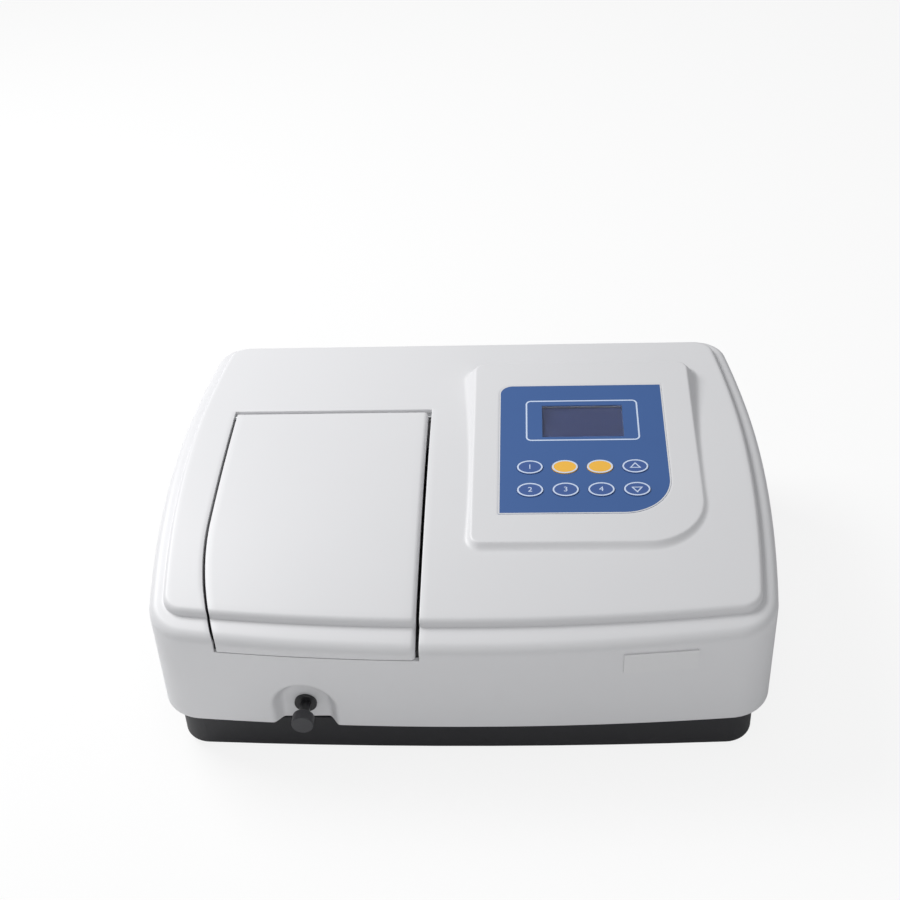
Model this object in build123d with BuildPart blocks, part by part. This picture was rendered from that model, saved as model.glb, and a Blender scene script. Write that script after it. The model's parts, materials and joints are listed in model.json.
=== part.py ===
from build123d import *
import os
from math import atan2, cos, radians, sin, sqrt

# Bench spectrophotometer for ultraviolet and visible light, in millimetres.
# X runs to the right, Y to the back, Z up, and the feet stand on Z = 0.

# Clearances
running_fit = 0.05
seat_gap = 0.3
slide_gap = 0.4

# Case
wall = 3.0
case_half_width = 241.5
case_back = 185.0
rim_front = -172.5
shoulder_front = -177.0
rim_level = 38.0
shoulder_level = 131.0
top_level = 160.0
crest_y = 77.0
nose_radius = 1070.0
side_bow_y = -18.0
side_bow_radius = 1150.0
rim_bow_radius = 2320.0
shoulder_bow_radius = 1485.0
front_corner_radius = 34.0
back_corner_radius = 26.0
shoulder_fillet = 7.0

# Raised plateau on top of the case
step_height = 6.0
plateau_half_width = 229.5
plateau_front = -156.5
plateau_back = 174.0
plateau_bow_radius = 2000.0
plateau_corner_radius = 17.0
plateau_fillet = 4.0

# Console wedge that carries the panel
console_left = 7.0
console_right = 188.0
console_front = -88.0
console_level = 151.0
console_tilt = 5.5
console_length = 213.0
console_flare = 7.0
console_flare_depth = 9.0
console_corner_radius = 8.0
console_big_corner_radius = 46.0
console_fillet = 1.6

# Panel, display and keys, measured along the sloping console
panel_left = 28.0
panel_right = 164.4
panel_low = 30.0
panel_high = 183.5
panel_corner_radius = 11.0
panel_big_corner_radius = 38.0
panel_thickness = 0.8
panel_recess = 0.6
window_centre_x = 96.8
window_centre_y = 137.6
window_width = 66.5
window_height = 39.0
window_ledge = 1.5
window_thickness = 1.2
window_drop = 0.5
key_columns = (53.0, 81.0, 109.0, 137.0)
key_rows = (82.0, 56.0)
key_width = 21.0
key_height = 15.6
key_proud = 0.7
key_travel = 0.5
key_flange = 1.2
key_nub_length = 1.4
key_nub_radius = 2.0
board_thickness = 1.6
board_drop = 8.0
switch_width = 6.0
display_width = 77.0
display_height = 55.0
key_lip = 1.0
key_fillet = 0.4
board_edge = 2.0
board_post_radius = 3.0
ribbon_width = 40.0
ribbon_depth = 6.0
key_names = (
    "key_1",
    "key_yellow_left",
    "key_yellow_right",
    "key_up",
    "key_2",
    "key_3",
    "key_4",
    "key_down",
)

# Bare plate on the front wall
plate_x = 147.5
plate_level = 105.5
plate_width = 55.0
plate_height = 19.0
plate_corner_radius = 1.0
plate_thickness = 2.2
plate_proud = 1.2

# Lid and its hinge
lid_right = -32.0
lid_back = 72.0
lid_back_left = -195.0
lid_left = -197.8
lid_sweep_y = -60.0
lid_front_left = -176.5
lid_sweep_end = -178.0
lid_bottom = 113.0
seam = 1.8
right_seam = 2.6
hinge_roll_radius = 3.5
hinge_pin_radius = 2.0
hinge_pin_length = 14.0
hinge_pin_grip = 7.0
hinge_boss_length = 4.5
hinge_boss_wall = 3.4
lid_rib = 2.5

# Base tray and feet
foot_height = 5.0
foot_radius = 12.0
foot_inset_x = 45.0
foot_inset_y = 32.0
base_half_width = 230.0
base_front = -163.5
base_back = 172.0
base_corner_radius = 22.0
base_bow_radius = 4500.0
tray_floor = 3.0
tray_top = 48.0
post_radius = 6.0
post_x = 205.0
post_front_y = -128.0
post_back_y = 146.0
lug_thickness = 6.0
screw_radius = 2.0
screw_head_radius = 4.0
screw_head_height = 2.4
screw_grip = 5.0
tray_bottom_fillet = 2.5
bed_pad_radius = 9.0
bed_pad_columns = (-180.0, -40.0, 118.0)
bed_pad_rows = (-125.0, 135.0)
standoff_radius = 3.0
board_margin = 6.0
vent_length = 26.0
vent_width = 3.0
vent_pitch = 5.0
vent_count = 8
foot_taper = 8.0
foot_fillet = 1.0

# Knob recess in the front wall
recess_x = -120.5
recess_radius = 26.0
recess_centre_level = 57.0
recess_back = -161.0
recess_wall = 2.5

# Sample chamber
chamber_left = -172.0
chamber_right = -60.0
chamber_front = -137.0
chamber_back = 50.0
chamber_floor = 40.0
chamber_wall = 3.0
flange_top = 119.0
flange_thickness = 2.5
apron_bottom = 104.0
seal_width = 6.0
seal_height = 3.0
beam_level = 75.0
sample_beam_y = -18.0
window_radius = 8.0
beam_window_thickness = 2.0
beam_hole_radius = 6.0
mouth_corner_radius = 6.0
seal_offset = 1.0
seal_fillet = 1.0
chamber_rib = 10.0
chamber_rib_inset = 25.0

# Cell carriage, rod and knob
cell_pitch = 18.0
cell_count = 4
cell_slot = 12.6
cell_window_width = 6.0
cell_window_height = 30.0
carriage_height = 50.0
carriage_width = 28.0
carriage_end = 6.0
rail_height = 5.0
rail_width = 8.0
rail_spacing = 16.0
rail_front_gap = 8.0
rail_back_gap = 2.0
groove_depth = 2.0
cell_floor = 9.0
cell_lead_in = 0.8
carriage_corner_radius = 3.0
rod_radius = 4.0
rod_level = 54.0
rod_thread = 5.0
rod_in_knob = 6.0
detent_depth = 0.6
detent_width = 1.6
bush_radius = 8.6
bush_thickness = 2.4
bush_length = 14.0
knob_front = -185.0
knob_radius = 8.4
knob_length = 9.0
knob_fillet = 0.8
bush_fillet = 0.8
bush_barrel_radius = 6.2

# Optical bed and monochromator
bed_bottom = 14.0
bed_top = 22.0
bed_left = -212.0
bed_right = 133.0
bed_front = -146.0
bed_back = 158.0
bed_corner_radius = 30.0
mono_left = -40.0
mono_right = 130.0
mono_front = -46.0
mono_back = 132.0
mono_top = 108.0
mono_wall = 5.0
mono_floor = 6.0
mono_cover_thickness = 3.0
mono_corner_radius = 6.0
slit_width = 1.2
slit_height = 9.0
lamp_beam_y = 104.0
slit_thickness = 1.5
slit_radius = 11.0
mirror_x = 100.0
mirror_radius = 17.0
mirror_thickness = 8.0
mirror_focus_radius = 220.0
mirror_sag = 1.0
mount_thickness = 5.0
grating_x = -4.0
grating_y = 43.0
grating_size = 32.0
grating_thickness = 6.0
turntable_radius = 13.0
pivot_radius = 3.0
pivot_seat = 4.0
table_height = 20.0
table_top = 4.0
arm_length = 70.0
arm_width = 10.0
arm_level = 37.0
arm_thickness = 6.0
drive_size = 24.0
drive_front = 12.0
drive_length = 26.0
drive_rod_radius = 3.0
drive_rod_length = 62.0
drive_nose = 2.0
drive_fillet = 2.0

# Light source
lamp_house_left = -140.0
lamp_house_right = -72.0
lamp_house_front = 56.0
lamp_house_back = 158.0
lamp_house_top = 112.0
lamp_wall = 2.5
lamp_x = -106.0
lamp_spacing = 31.0
deuterium_radius = 13.0
tungsten_radius = 6.0
lamp_base_height = 22.0
lamp_mirror_width = 16.0
lamp_mirror_height = 22.0
lamp_mirror_thickness = 2.5
lamp_motor_radius = 10.0
lamp_motor_height = 22.0
lamp_shaft_radius = 1.5
lamp_shaft_length = 12.0
lamp_vent_count = 6
tungsten_base_radius = 10.0
tungsten_height = 38.0
deuterium_height = 52.0
filter_wheel_x = -54.0
filter_wheel_radius = 27.0
filter_circle_radius = 19.0
filter_radius = 6.0
filter_count = 6
filter_wheel_thickness = 2.0
filter_motor_radius = 9.0
filter_motor_length = 12.0
filter_hub_radius = 5.0
filter_hub_length = 5.0
filter_shaft_radius = 1.5

# Detector
detector_left = -212.0
detector_half_depth = 24.0
detector_top = 102.0
photodiode_radius = 9.0
photodiode_length = 5.0

# Rear panel and what it carries
rear_left = 24.0
rear_right = 196.0
rear_bottom = 46.0
rear_top = 124.0
rear_thickness = 1.5
rear_lap = 6.0
socket_level = 84.0
inlet_x = 160.0
inlet_width = 27.0
inlet_height = 20.0
inlet_depth = 22.0
inlet_flange = 4.0
switch_x = 118.0
rocker_width = 10.0
rocker_length = 20.0
rocker_tilt = 8.0
data_x = 66.0
data_width = 16.0
data_height = 14.0
data_depth = 16.0
socket_proud = 2.0
rear_corner_radius = 4.0
inlet_cavity_width = 22.0
inlet_cavity_height = 16.0
pin_spread = 7.0
pin_rise = 2.0
pin_width = 2.0
pin_height = 3.5
switch_outer_width = 14.0
switch_outer_height = 25.0
switch_depth = 14.0
rocker_pin = 1.0
rocker_skirt = 1.5
rocker_lift = 3.0
rocker_valley = 1.6
rocker_sink = 1.5

# Cooling fan
fan_x = -106.0
fan_level = 82.0
fan_size = 60.0
fan_depth = 15.0
fan_bore_radius = 28.0
fan_hub_radius = 12.0
fan_blades = 7
fan_blade_gap = 1.2
fan_blade_twist = 35.0
fan_corner_radius = 5.0
fan_strut = 2.5
fan_shaft_radius = 1.5
fan_slot_length = 46.0
fan_slot_width = 3.0
fan_slot_pitch = 6.0
fan_slot_count = 8

# Electronics under the console
electronics_left = 140.0
electronics_right = 196.0
supply_front = -138.0
supply_back = -32.0
supply_top = 58.0
sheet = 1.5
board_front = -22.0
board_back = 128.0
board_level = 16.0
supply_vent_count = 8
board_chips = ((10.0, 14.0, 2.2), (40.0, 18.0, 2.6), (72.0, 12.0, 2.0))
heat_sink_y = 104.0
heat_sink_pitch = 6.0
heat_sink_fins = 6
heat_sink_depth = 24.0
heat_sink_height = 18.0

# Places that follow from the sizes above
floor_level = foot_height + tray_floor
hinge_y = lid_back - hinge_roll_radius
hinge_level = top_level - hinge_roll_radius
console_face = Plane(
    origin=(0, console_front, console_level),
    x_dir=(1, 0, 0),
    z_dir=(0, -sin(radians(console_tilt)), cos(radians(console_tilt))),
)
console_floor = console_face.offset(-panel_recess)
carriage_length = cell_pitch * (cell_count - 1) + cell_slot + 2 * carriage_end
carriage_front = sample_beam_y - cell_slot / 2 - carriage_end
carriage_bottom = chamber_floor + rail_height - groove_depth
back_inside = case_back - wall
rocker_y = back_inside - rocker_sink
beyond = 400.0


def save(piece, name):
    """Name a finished piece and write it to its own file."""
    piece.part.label = name
    export_step(piece.part, f"parts/{name}.step")


def across(x, y=0.0, z=0.0):
    """A plane that faces +X at this place, with its own X along +Y and its Y up."""
    return Plane(origin=(x, y, z), x_dir=(0, 1, 0), z_dir=(1, 0, 0))


def along(y, x=0.0, z=0.0):
    """A plane that faces +Y at this place, with its own X along -X and its Y up."""
    return Plane(origin=(x, y, z), x_dir=(-1, 0, 0), z_dir=(0, 1, 0))


def level(z, x=0.0, y=0.0):
    """A horizontal plane at this height."""
    return Plane(origin=(x, y, z))


def box_between(low, high, mode=Mode.ADD):
    """A block given by two opposite corners, for the open part builder."""
    size = [b - a for a, b in zip(low, high)]
    with Locations(low):
        Box(*size, align=(Align.MIN, Align.MIN, Align.MIN), mode=mode)


def bowed_outline(half, front, back, side_radius, front_radius, corner, back_corner):
    """A plan outline with bowed sides, a bowed front and a straight back."""

    def side_x(y):
        return half - (y - side_bow_y) ** 2 / (2 * side_radius)

    corner_y = front + side_x(front) ** 2 / (2 * front_radius)
    corner_x = side_x(corner_y)
    back_x = side_x(back)
    with BuildSketch() as outline:
        with BuildLine():
            ThreePointArc((-corner_x, corner_y), (0, front), (corner_x, corner_y))
            ThreePointArc((corner_x, corner_y), (half, side_bow_y), (back_x, back))
            Line((back_x, back), (-back_x, back))
            ThreePointArc((-back_x, back), (-half, side_bow_y), (-corner_x, corner_y))
        make_face()
        fillet(outline.vertices().group_by(Axis.Y)[0], corner)
        fillet(outline.vertices().group_by(Axis.Y)[-1], back_corner)
    return outline.sketch


def case_outline(height, inset):
    """The case's plan outline at a height: its front leans out from rim to shoulder."""
    lean = (height - rim_level) / (shoulder_level - rim_level)
    front = rim_front + lean * (shoulder_front - rim_front)
    bow = 1 / rim_bow_radius + lean * (1 / shoulder_bow_radius - 1 / rim_bow_radius)
    return bowed_outline(
        case_half_width - inset,
        front + inset,
        case_back - inset,
        side_bow_radius,
        1 / bow,
        front_corner_radius - inset,
        back_corner_radius - inset,
    )


def top_height(y):
    """The plateau's height: flat at the back, falling along an arc to the front."""
    reach = max(crest_y - y, 0.0)
    return top_level - nose_radius + sqrt(nose_radius**2 - reach**2)


def under_top(drop):
    """Everything below the top's profile, lowered by this drop."""
    front_end = -beyond / 2
    middle = (front_end + crest_y) / 2
    with BuildPart() as space:
        with BuildSketch(Plane.YZ):
            with BuildLine():
                ThreePointArc(
                    (front_end, top_height(front_end) - drop),
                    (middle, top_height(middle) - drop),
                    (crest_y, top_level - drop),
                )
                Polyline(
                    (crest_y, top_level - drop),
                    (beyond, top_level - drop),
                    (beyond, -beyond),
                    (front_end, -beyond),
                    (front_end, top_height(front_end) - drop),
                )
            make_face()
        extrude(amount=beyond, both=True)
    return space.part


def border(faces):
    """The edges round a group of faces, without those that two of them share."""
    edges = [edge for face in faces for edge in face.edges()]
    return [e for e in edges if sum(e.is_same(other) for other in edges) == 1]


def upper_faces(part):
    """The faces that look up, whose border carries the soft edge of a form."""
    return part.faces().filter_by(lambda face: face.normal_at().Z > cos(radians(45)))


def console_outline(grow):
    """The console's outline on its own slope, with one large front corner."""
    width = console_right - console_left
    with BuildSketch() as outline:
        with Locations(((console_left + console_right) / 2, console_length / 2)):
            Rectangle(width + 2 * grow, console_length + 2 * grow)
        corners = outline.vertices().sort_by(Axis.Y)
        front_right = corners[:2].sort_by(Axis.X)[-1]
        others = [c for c in corners if c is not front_right]
        fillet(others, console_corner_radius + grow)
        right_corner = outline.vertices().sort_by(lambda v: v.X - v.Y)[-1]
        fillet(right_corner, console_big_corner_radius + grow)
    return outline.sketch


def case_form(inset):
    """The outer form of the case, or of the hollow inside it for a given wall."""
    start = rim_level - inset
    with BuildPart() as prism:
        for height in (start, top_level):
            with BuildSketch(level(height)):
                add(case_outline(height, inset))
        loft(ruled=True)
        add(under_top(step_height + inset), mode=Mode.INTERSECT)
        fillet(border(upper_faces(prism)), shoulder_fillet - inset)
    with BuildPart() as plateau:
        with BuildSketch(level(rim_level)):
            add(
                bowed_outline(
                    plateau_half_width - inset,
                    plateau_front + inset,
                    plateau_back - inset,
                    side_bow_radius,
                    plateau_bow_radius,
                    plateau_corner_radius,
                    plateau_corner_radius,
                )
            )
        extrude(amount=top_level)
        add(under_top(inset), mode=Mode.INTERSECT)
        fillet(border(upper_faces(plateau)), plateau_fillet - inset)
    with BuildPart() as console:
        for depth, grow in ((inset, -inset), (inset + console_flare_depth, console_flare - inset)):
            with BuildSketch(console_face.offset(-depth)):
                add(console_outline(grow))
        loft()
        if inset == 0:
            fillet(console.faces().sort_by(Axis.Z)[-1].edges(), console_fillet)
    with BuildPart() as form:
        add(prism.part)
        add(plateau.part)
        add(console.part)
    return form.part


def lid_outline(grow):
    """The lid seen from above, its left edge sweeping in towards the front."""
    front = -beyond / 2
    with BuildSketch() as outline:
        with BuildLine():
            back_edge = Line((lid_right, lid_back), (lid_back_left, lid_back))
            left_edge = Line(back_edge @ 1, (lid_left, lid_sweep_y))
            sweep = TangentArc(left_edge @ 1, (lid_front_left, lid_sweep_end), tangent=left_edge % 1)
            Polyline(sweep @ 1, (lid_front_left, front), (lid_right, front), back_edge @ 0)
        make_face()
        if grow > 0:
            offset(amount=grow, kind=Kind.INTERSECTION)
    return outline.sketch


def opening_outline(grow):
    """The cover's opening: the lid's outline, the seam round it, and any more growth."""
    with BuildSketch() as outline:
        add(lid_outline(seam + grow))
        with Locations((lid_right + right_seam + grow, (lid_back + seam + grow))):
            Rectangle(right_seam, beyond, align=(Align.MAX, Align.MAX))
    return outline.sketch


def panel_outline(grow=0.0):
    """The blue panel on its slope, with two round corners and two sharp ones."""
    width = panel_right - panel_left
    height = panel_high - panel_low
    with BuildSketch() as outline:
        with Locations(((panel_left + panel_right) / 2, (panel_low + panel_high) / 2)):
            Rectangle(width + 2 * grow, height + 2 * grow)
        top_left = outline.vertices().sort_by(lambda v: v.Y - v.X)[-1]
        fillet(top_left, panel_corner_radius)
        low_right = outline.vertices().sort_by(lambda v: v.X - v.Y)[-1]
        fillet(low_right, panel_big_corner_radius)
    return outline.sketch


def key_places():
    """The centre of each key on the console's slope, row by row."""
    return [(x, y) for y in key_rows for x in key_columns]


def board_corners():
    """Where the keypad board meets its four posts."""
    return [
        (x, y)
        for x in (panel_left + 2 * board_post_radius, panel_right - 2 * board_post_radius)
        for y in (window_centre_y - display_height / 2, window_centre_y + display_height / 2)
    ]


def recess_arch(grow, bottom):
    """The front recess seen from the front: straight sides under a round top."""
    radius = recess_radius + grow
    with BuildSketch() as arch:
        with Locations((0, recess_centre_level)):
            Circle(radius)
        with Locations((0, bottom)):
            Rectangle(2 * radius, recess_centre_level - bottom, align=(Align.CENTER, Align.MIN))
    return arch.sketch


def make_top_cover(outer, inner):
    with BuildPart() as well:
        with BuildSketch(level(flange_top + seat_gap)):
            add(opening_outline(wall))
            add(opening_outline(0.0), mode=Mode.SUBTRACT)
        extrude(amount=beyond)
        for x, reach in hinge_boss_places():
            with BuildSketch(across(x, hinge_y, hinge_level)):
                Circle(hinge_boss_wall + hinge_pin_radius)
            extrude(amount=reach)
        add(outer, mode=Mode.INTERSECT)
    with BuildPart() as pocket:
        with BuildSketch(along(recess_back + recess_wall, recess_x)):
            add(recess_arch(recess_wall, rim_level + seat_gap))
        extrude(amount=-beyond)
        add(outer, mode=Mode.INTERSECT)
    with BuildPart() as lugs:
        for side in (-1, 1):
            for y in (post_front_y, post_back_y):
                with BuildSketch(level(tray_top, side * post_x, y)):
                    Circle(post_radius)
                    Rectangle(
                        beyond,
                        2 * post_radius,
                        align=(Align.MIN if side > 0 else Align.MAX, Align.CENTER),
                    )
                extrude(amount=lug_thickness)
        add(outer, mode=Mode.INTERSECT)
    with BuildPart() as top_cover:
        add(outer)
        add(inner, mode=Mode.SUBTRACT)
        add(well.part)
        add(pocket.part)
        add(lugs.part)
        with BuildSketch(level(lid_bottom - seam)):
            add(opening_outline(0.0))
        extrude(amount=beyond, mode=Mode.SUBTRACT)
        with BuildSketch(along(recess_back, recess_x)):
            add(recess_arch(0.0, -beyond))
        extrude(amount=-beyond, mode=Mode.SUBTRACT)
        with BuildSketch(along(recess_back + wall, recess_x, rod_level)):
            Circle(bush_barrel_radius)
        extrude(amount=-2 * wall, mode=Mode.SUBTRACT)
        with BuildSketch(level(tray_top)):
            with Locations(*post_places()):
                Circle(screw_radius)
        extrude(amount=screw_grip, mode=Mode.SUBTRACT)
        with BuildSketch(console_face.offset(-wall)):
            with Locations(*board_corners()):
                Circle(board_post_radius)
        extrude(amount=wall - board_drop)
        with BuildSketch(console_floor):
            add(panel_outline())
        extrude(amount=wall, mode=Mode.SUBTRACT)
        with BuildSketch(console_face.offset(-window_drop - window_thickness)):
            with Locations((window_centre_x, window_centre_y)):
                Rectangle(window_width, window_height)
        extrude(amount=wall, mode=Mode.SUBTRACT)
        with BuildSketch(console_face):
            with Locations(*key_places()):
                Ellipse(key_width / 2 + seat_gap, key_height / 2 + seat_gap)
            with Locations((window_centre_x, window_centre_y)):
                Rectangle(window_width - 2 * window_ledge, window_height - 2 * window_ledge)
        extrude(amount=-wall, both=True, mode=Mode.SUBTRACT)
        with BuildSketch(plate_plane().offset(plate_proud)):
            RectangleRounded(plate_width, plate_height, plate_corner_radius)
        extrude(amount=-plate_thickness, mode=Mode.SUBTRACT)
        rear_centre = ((rear_left + rear_right) / 2, (rear_bottom + rear_top) / 2)
        with BuildSketch(along(back_inside, *rear_centre)):
            RectangleRounded(
                rear_right - rear_left - 2 * rear_lap,
                rear_top - rear_bottom - 2 * rear_lap,
                rear_corner_radius,
            )
        extrude(amount=wall, mode=Mode.SUBTRACT)
        with BuildSketch(along(back_inside, fan_x, fan_level)):
            with GridLocations(0, fan_slot_pitch, 1, fan_slot_count):
                SlotOverall(fan_slot_length, fan_slot_width)
        extrude(amount=wall, mode=Mode.SUBTRACT)
        pin_reach = hinge_pin_length - hinge_pin_grip + slide_gap
        with BuildSketch(across(lid_back_left - pin_reach, hinge_y, hinge_level)):
            Circle(hinge_pin_radius + running_fit)
        extrude(amount=pin_reach, mode=Mode.SUBTRACT)
        with BuildSketch(across(lid_right, hinge_y, hinge_level)):
            Circle(hinge_pin_radius + running_fit)
        extrude(amount=pin_reach, mode=Mode.SUBTRACT)
    return top_cover


def hinge_boss_places():
    """Start and length of the bosses that take the hinge pins in the well's walls."""
    left_wall = lid_back_left - seam - wall
    right_wall = lid_right + right_seam
    return [
        (left_wall - hinge_boss_length, hinge_boss_length + wall),
        (right_wall, hinge_boss_length + wall),
    ]


def mouth(grow):
    """The chamber's mouth seen from above, grown by this much."""
    with BuildSketch() as outline:
        centre_x = (chamber_left + chamber_right) / 2
        with Locations((centre_x, (chamber_front + chamber_back) / 2)):
            RectangleRounded(
                chamber_right - chamber_left + 2 * grow,
                chamber_back - chamber_front + 2 * grow,
                mouth_corner_radius + grow,
            )
    return outline.sketch


def make_sample_lid(outer, inner):
    rib_middle = seal_offset + seal_width / 2
    with BuildPart() as rib:
        with BuildSketch(level(flange_top + seal_height + seat_gap)):
            add(mouth(rib_middle + lid_rib / 2))
            add(mouth(rib_middle - lid_rib / 2), mode=Mode.SUBTRACT)
        extrude(amount=beyond)
        add(outer, mode=Mode.INTERSECT)
    with BuildPart() as sample_lid:
        with BuildSketch(level(lid_bottom)):
            add(lid_outline(0.0))
        extrude(amount=beyond)
        add(outer, mode=Mode.INTERSECT)
        add(inner, mode=Mode.SUBTRACT)
        box_between((-beyond, hinge_y, 0), (beyond, beyond, beyond), mode=Mode.SUBTRACT)
        with BuildSketch(across(lid_back_left, hinge_y, hinge_level)):
            Circle(hinge_roll_radius)
        extrude(amount=lid_right - lid_back_left)
        add(rib.part)
        for inner_end, side in ((lid_back_left + hinge_pin_grip, -1), (lid_right - hinge_pin_grip, 1)):
            with BuildSketch(across(inner_end, hinge_y, hinge_level)):
                Circle(hinge_pin_radius)
            extrude(amount=side * (hinge_pin_grip + seam), mode=Mode.SUBTRACT)
    return sample_lid


def make_lid_hinge_pins():
    outside = hinge_pin_length - hinge_pin_grip
    with BuildPart() as lid_hinge_pins:
        for start in (lid_back_left - outside, lid_right - hinge_pin_grip):
            with BuildSketch(across(start, hinge_y, hinge_level)):
                Circle(hinge_pin_radius)
            extrude(amount=hinge_pin_length)
    return lid_hinge_pins


def base_outline(inset):
    """The base tray's plan outline, nearly straight in front."""
    corner = base_corner_radius - inset
    return bowed_outline(
        base_half_width - inset,
        base_front + inset,
        base_back - inset,
        side_bow_radius,
        base_bow_radius,
        corner,
        corner,
    )


def post_places():
    """Centres of the four posts that carry the cover."""
    return [(side * post_x, y) for side in (-1, 1) for y in (post_front_y, post_back_y)]


def foot_places():
    """Centres of the four feet."""
    x = base_half_width - foot_inset_x
    return [
        (side * x, y)
        for side in (-1, 1)
        for y in (base_front + foot_inset_y, base_back - foot_inset_y)
    ]


def bed_pad_places():
    """Where the optical bed stands on the tray."""
    return [(x, y) for x in bed_pad_columns for y in bed_pad_rows]


def board_standoffs():
    """Where the main board stands on the tray."""
    return [
        (x, y)
        for x in (electronics_left + board_margin, electronics_right - board_margin)
        for y in (board_front + board_margin, board_back - board_margin)
    ]


def make_base_tray():
    shelf_level = rim_level - seat_gap
    notch_half = recess_radius + recess_wall + wall
    with BuildPart() as base_tray:
        with BuildSketch(level(foot_height)):
            add(base_outline(0.0))
        extrude(amount=tray_top - foot_height)
        fillet(base_tray.faces().sort_by(Axis.Z)[0].edges(), tray_bottom_fillet)
        with BuildSketch(level(floor_level)):
            add(base_outline(wall))
        extrude(amount=beyond, mode=Mode.SUBTRACT)
        box_between(
            (recess_x - notch_half, base_front - wall, shelf_level),
            (recess_x + notch_half, base_front + 2 * wall, tray_top),
            mode=Mode.SUBTRACT,
        )
        box_between(
            (recess_x - notch_half, base_front + wall / 2, shelf_level - wall),
            (recess_x + notch_half, recess_back + 2 * wall, shelf_level),
        )
        with BuildSketch(level(floor_level)):
            with Locations(*post_places()):
                Circle(post_radius)
        extrude(amount=tray_top - floor_level)
        with BuildSketch(level(floor_level)):
            with Locations(*bed_pad_places()):
                Circle(bed_pad_radius)
        extrude(amount=bed_bottom - floor_level)
        with BuildSketch(level(floor_level)):
            with Locations(*board_standoffs()):
                Circle(standoff_radius)
        extrude(amount=board_level - floor_level)
        with BuildSketch(level(foot_height)):
            with Locations(*post_places()):
                Circle(screw_radius + slide_gap)
        extrude(amount=tray_top, mode=Mode.SUBTRACT)
        with BuildSketch(level(foot_height)):
            with Locations(*post_places()):
                Circle(screw_head_radius + slide_gap)
        extrude(amount=screw_head_height + slide_gap, mode=Mode.SUBTRACT)
        vent_centre = (electronics_left + electronics_right) / 2
        with BuildSketch(level(foot_height)):
            with Locations((vent_centre, (supply_front + supply_back) / 2)):
                with GridLocations(vent_length + vent_pitch, 2 * vent_pitch, 2, vent_count):
                    SlotOverall(vent_length, vent_width)
        extrude(amount=tray_floor, mode=Mode.SUBTRACT)
    return base_tray


def make_rubber_feet():
    with BuildPart() as rubber_feet:
        with BuildSketch(level(foot_height)):
            with Locations(*foot_places()):
                Circle(foot_radius)
        extrude(amount=-foot_height, taper=foot_taper)
        fillet(rubber_feet.faces().filter_by(Axis.Z).group_by(Axis.Z)[0].edges(), foot_fillet)
    return rubber_feet


def make_cover_screws():
    with BuildPart() as cover_screws:
        with BuildSketch(level(foot_height + slide_gap)):
            with Locations(*post_places()):
                Circle(screw_head_radius)
        extrude(amount=screw_head_height)
        with BuildSketch(level(foot_height + slide_gap)):
            with Locations(*post_places()):
                Circle(screw_radius)
        extrude(amount=tray_top + screw_grip - foot_height - slide_gap)
    return cover_screws


def flange_outline():
    """The chamber flange: the opening and the well's walls, inside the case."""
    with BuildSketch() as outline:
        add(opening_outline(wall))
        add(case_outline(apron_bottom, wall + slide_gap), mode=Mode.INTERSECT)
    return outline.sketch


def make_sample_chamber():
    with BuildPart() as sample_chamber:
        with BuildSketch(level(flange_top - flange_thickness)):
            add(flange_outline())
        extrude(amount=flange_thickness)
        with BuildSketch(level(apron_bottom)):
            add(flange_outline())
            add(case_outline(apron_bottom, wall + slide_gap + flange_thickness), mode=Mode.SUBTRACT)
            with Locations((0, chamber_front)):
                Rectangle(beyond * 2, beyond, align=(Align.CENTER, Align.MIN), mode=Mode.SUBTRACT)
        extrude(amount=flange_top - flange_thickness - apron_bottom)
        with BuildSketch(level(chamber_floor - chamber_wall)):
            add(mouth(chamber_wall))
        extrude(amount=flange_top - chamber_floor + chamber_wall)
        with BuildSketch(level(chamber_floor)):
            add(mouth(0.0))
        extrude(amount=beyond, mode=Mode.SUBTRACT)
        for y in (chamber_front + chamber_rib_inset, chamber_back - chamber_rib_inset):
            box_between(
                (chamber_left, y - chamber_rib / 2, bed_top),
                (chamber_right, y + chamber_rib / 2, chamber_floor - chamber_wall),
            )
        right_face = chamber_right + chamber_wall
        left_face = chamber_left - chamber_wall
        with BuildSketch(across(left_face, sample_beam_y, beam_level)):
            Circle(window_radius)
        extrude(amount=beam_window_thickness, mode=Mode.SUBTRACT)
        with BuildSketch(across(right_face, sample_beam_y, beam_level)):
            Circle(window_radius)
        extrude(amount=-beam_window_thickness, mode=Mode.SUBTRACT)
        with BuildSketch(across(left_face, sample_beam_y, beam_level)):
            Circle(window_radius - window_ledge)
        extrude(amount=right_face - left_face, mode=Mode.SUBTRACT)
        with BuildSketch(along(chamber_front, recess_x, rod_level)):
            Circle(rod_radius + slide_gap)
        extrude(amount=-2 * chamber_wall, both=True, mode=Mode.SUBTRACT)
    return sample_chamber


def make_chamber_seal():
    with BuildPart() as chamber_seal:
        with BuildSketch(level(flange_top)):
            add(mouth(seal_offset + seal_width))
            add(mouth(seal_offset), mode=Mode.SUBTRACT)
        extrude(amount=seal_height)
        fillet(chamber_seal.faces().sort_by(Axis.Z)[-1].edges(), seal_fillet)
    return chamber_seal


def make_beam_windows():
    with BuildPart() as beam_windows:
        for face_x, side in ((chamber_left - chamber_wall, 1), (chamber_right + chamber_wall, -1)):
            with BuildSketch(across(face_x, sample_beam_y, beam_level)):
                Circle(window_radius)
            extrude(amount=side * beam_window_thickness)
    return beam_windows


def rail_places():
    """Centre lines of the two rails, seen from above."""
    return [recess_x - rail_spacing / 2, recess_x + rail_spacing / 2]


def make_carriage_rails():
    with BuildPart() as carriage_rails:
        for x in rail_places():
            box_between(
                (x - rail_width / 2, chamber_front + rail_front_gap, chamber_floor),
                (x + rail_width / 2, chamber_back - rail_back_gap, chamber_floor + rail_height),
            )
    return carriage_rails


def cell_places():
    """The centre of each cuvette slot, seen from above."""
    return [(recess_x, sample_beam_y + cell_pitch * i) for i in range(cell_count)]


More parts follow.
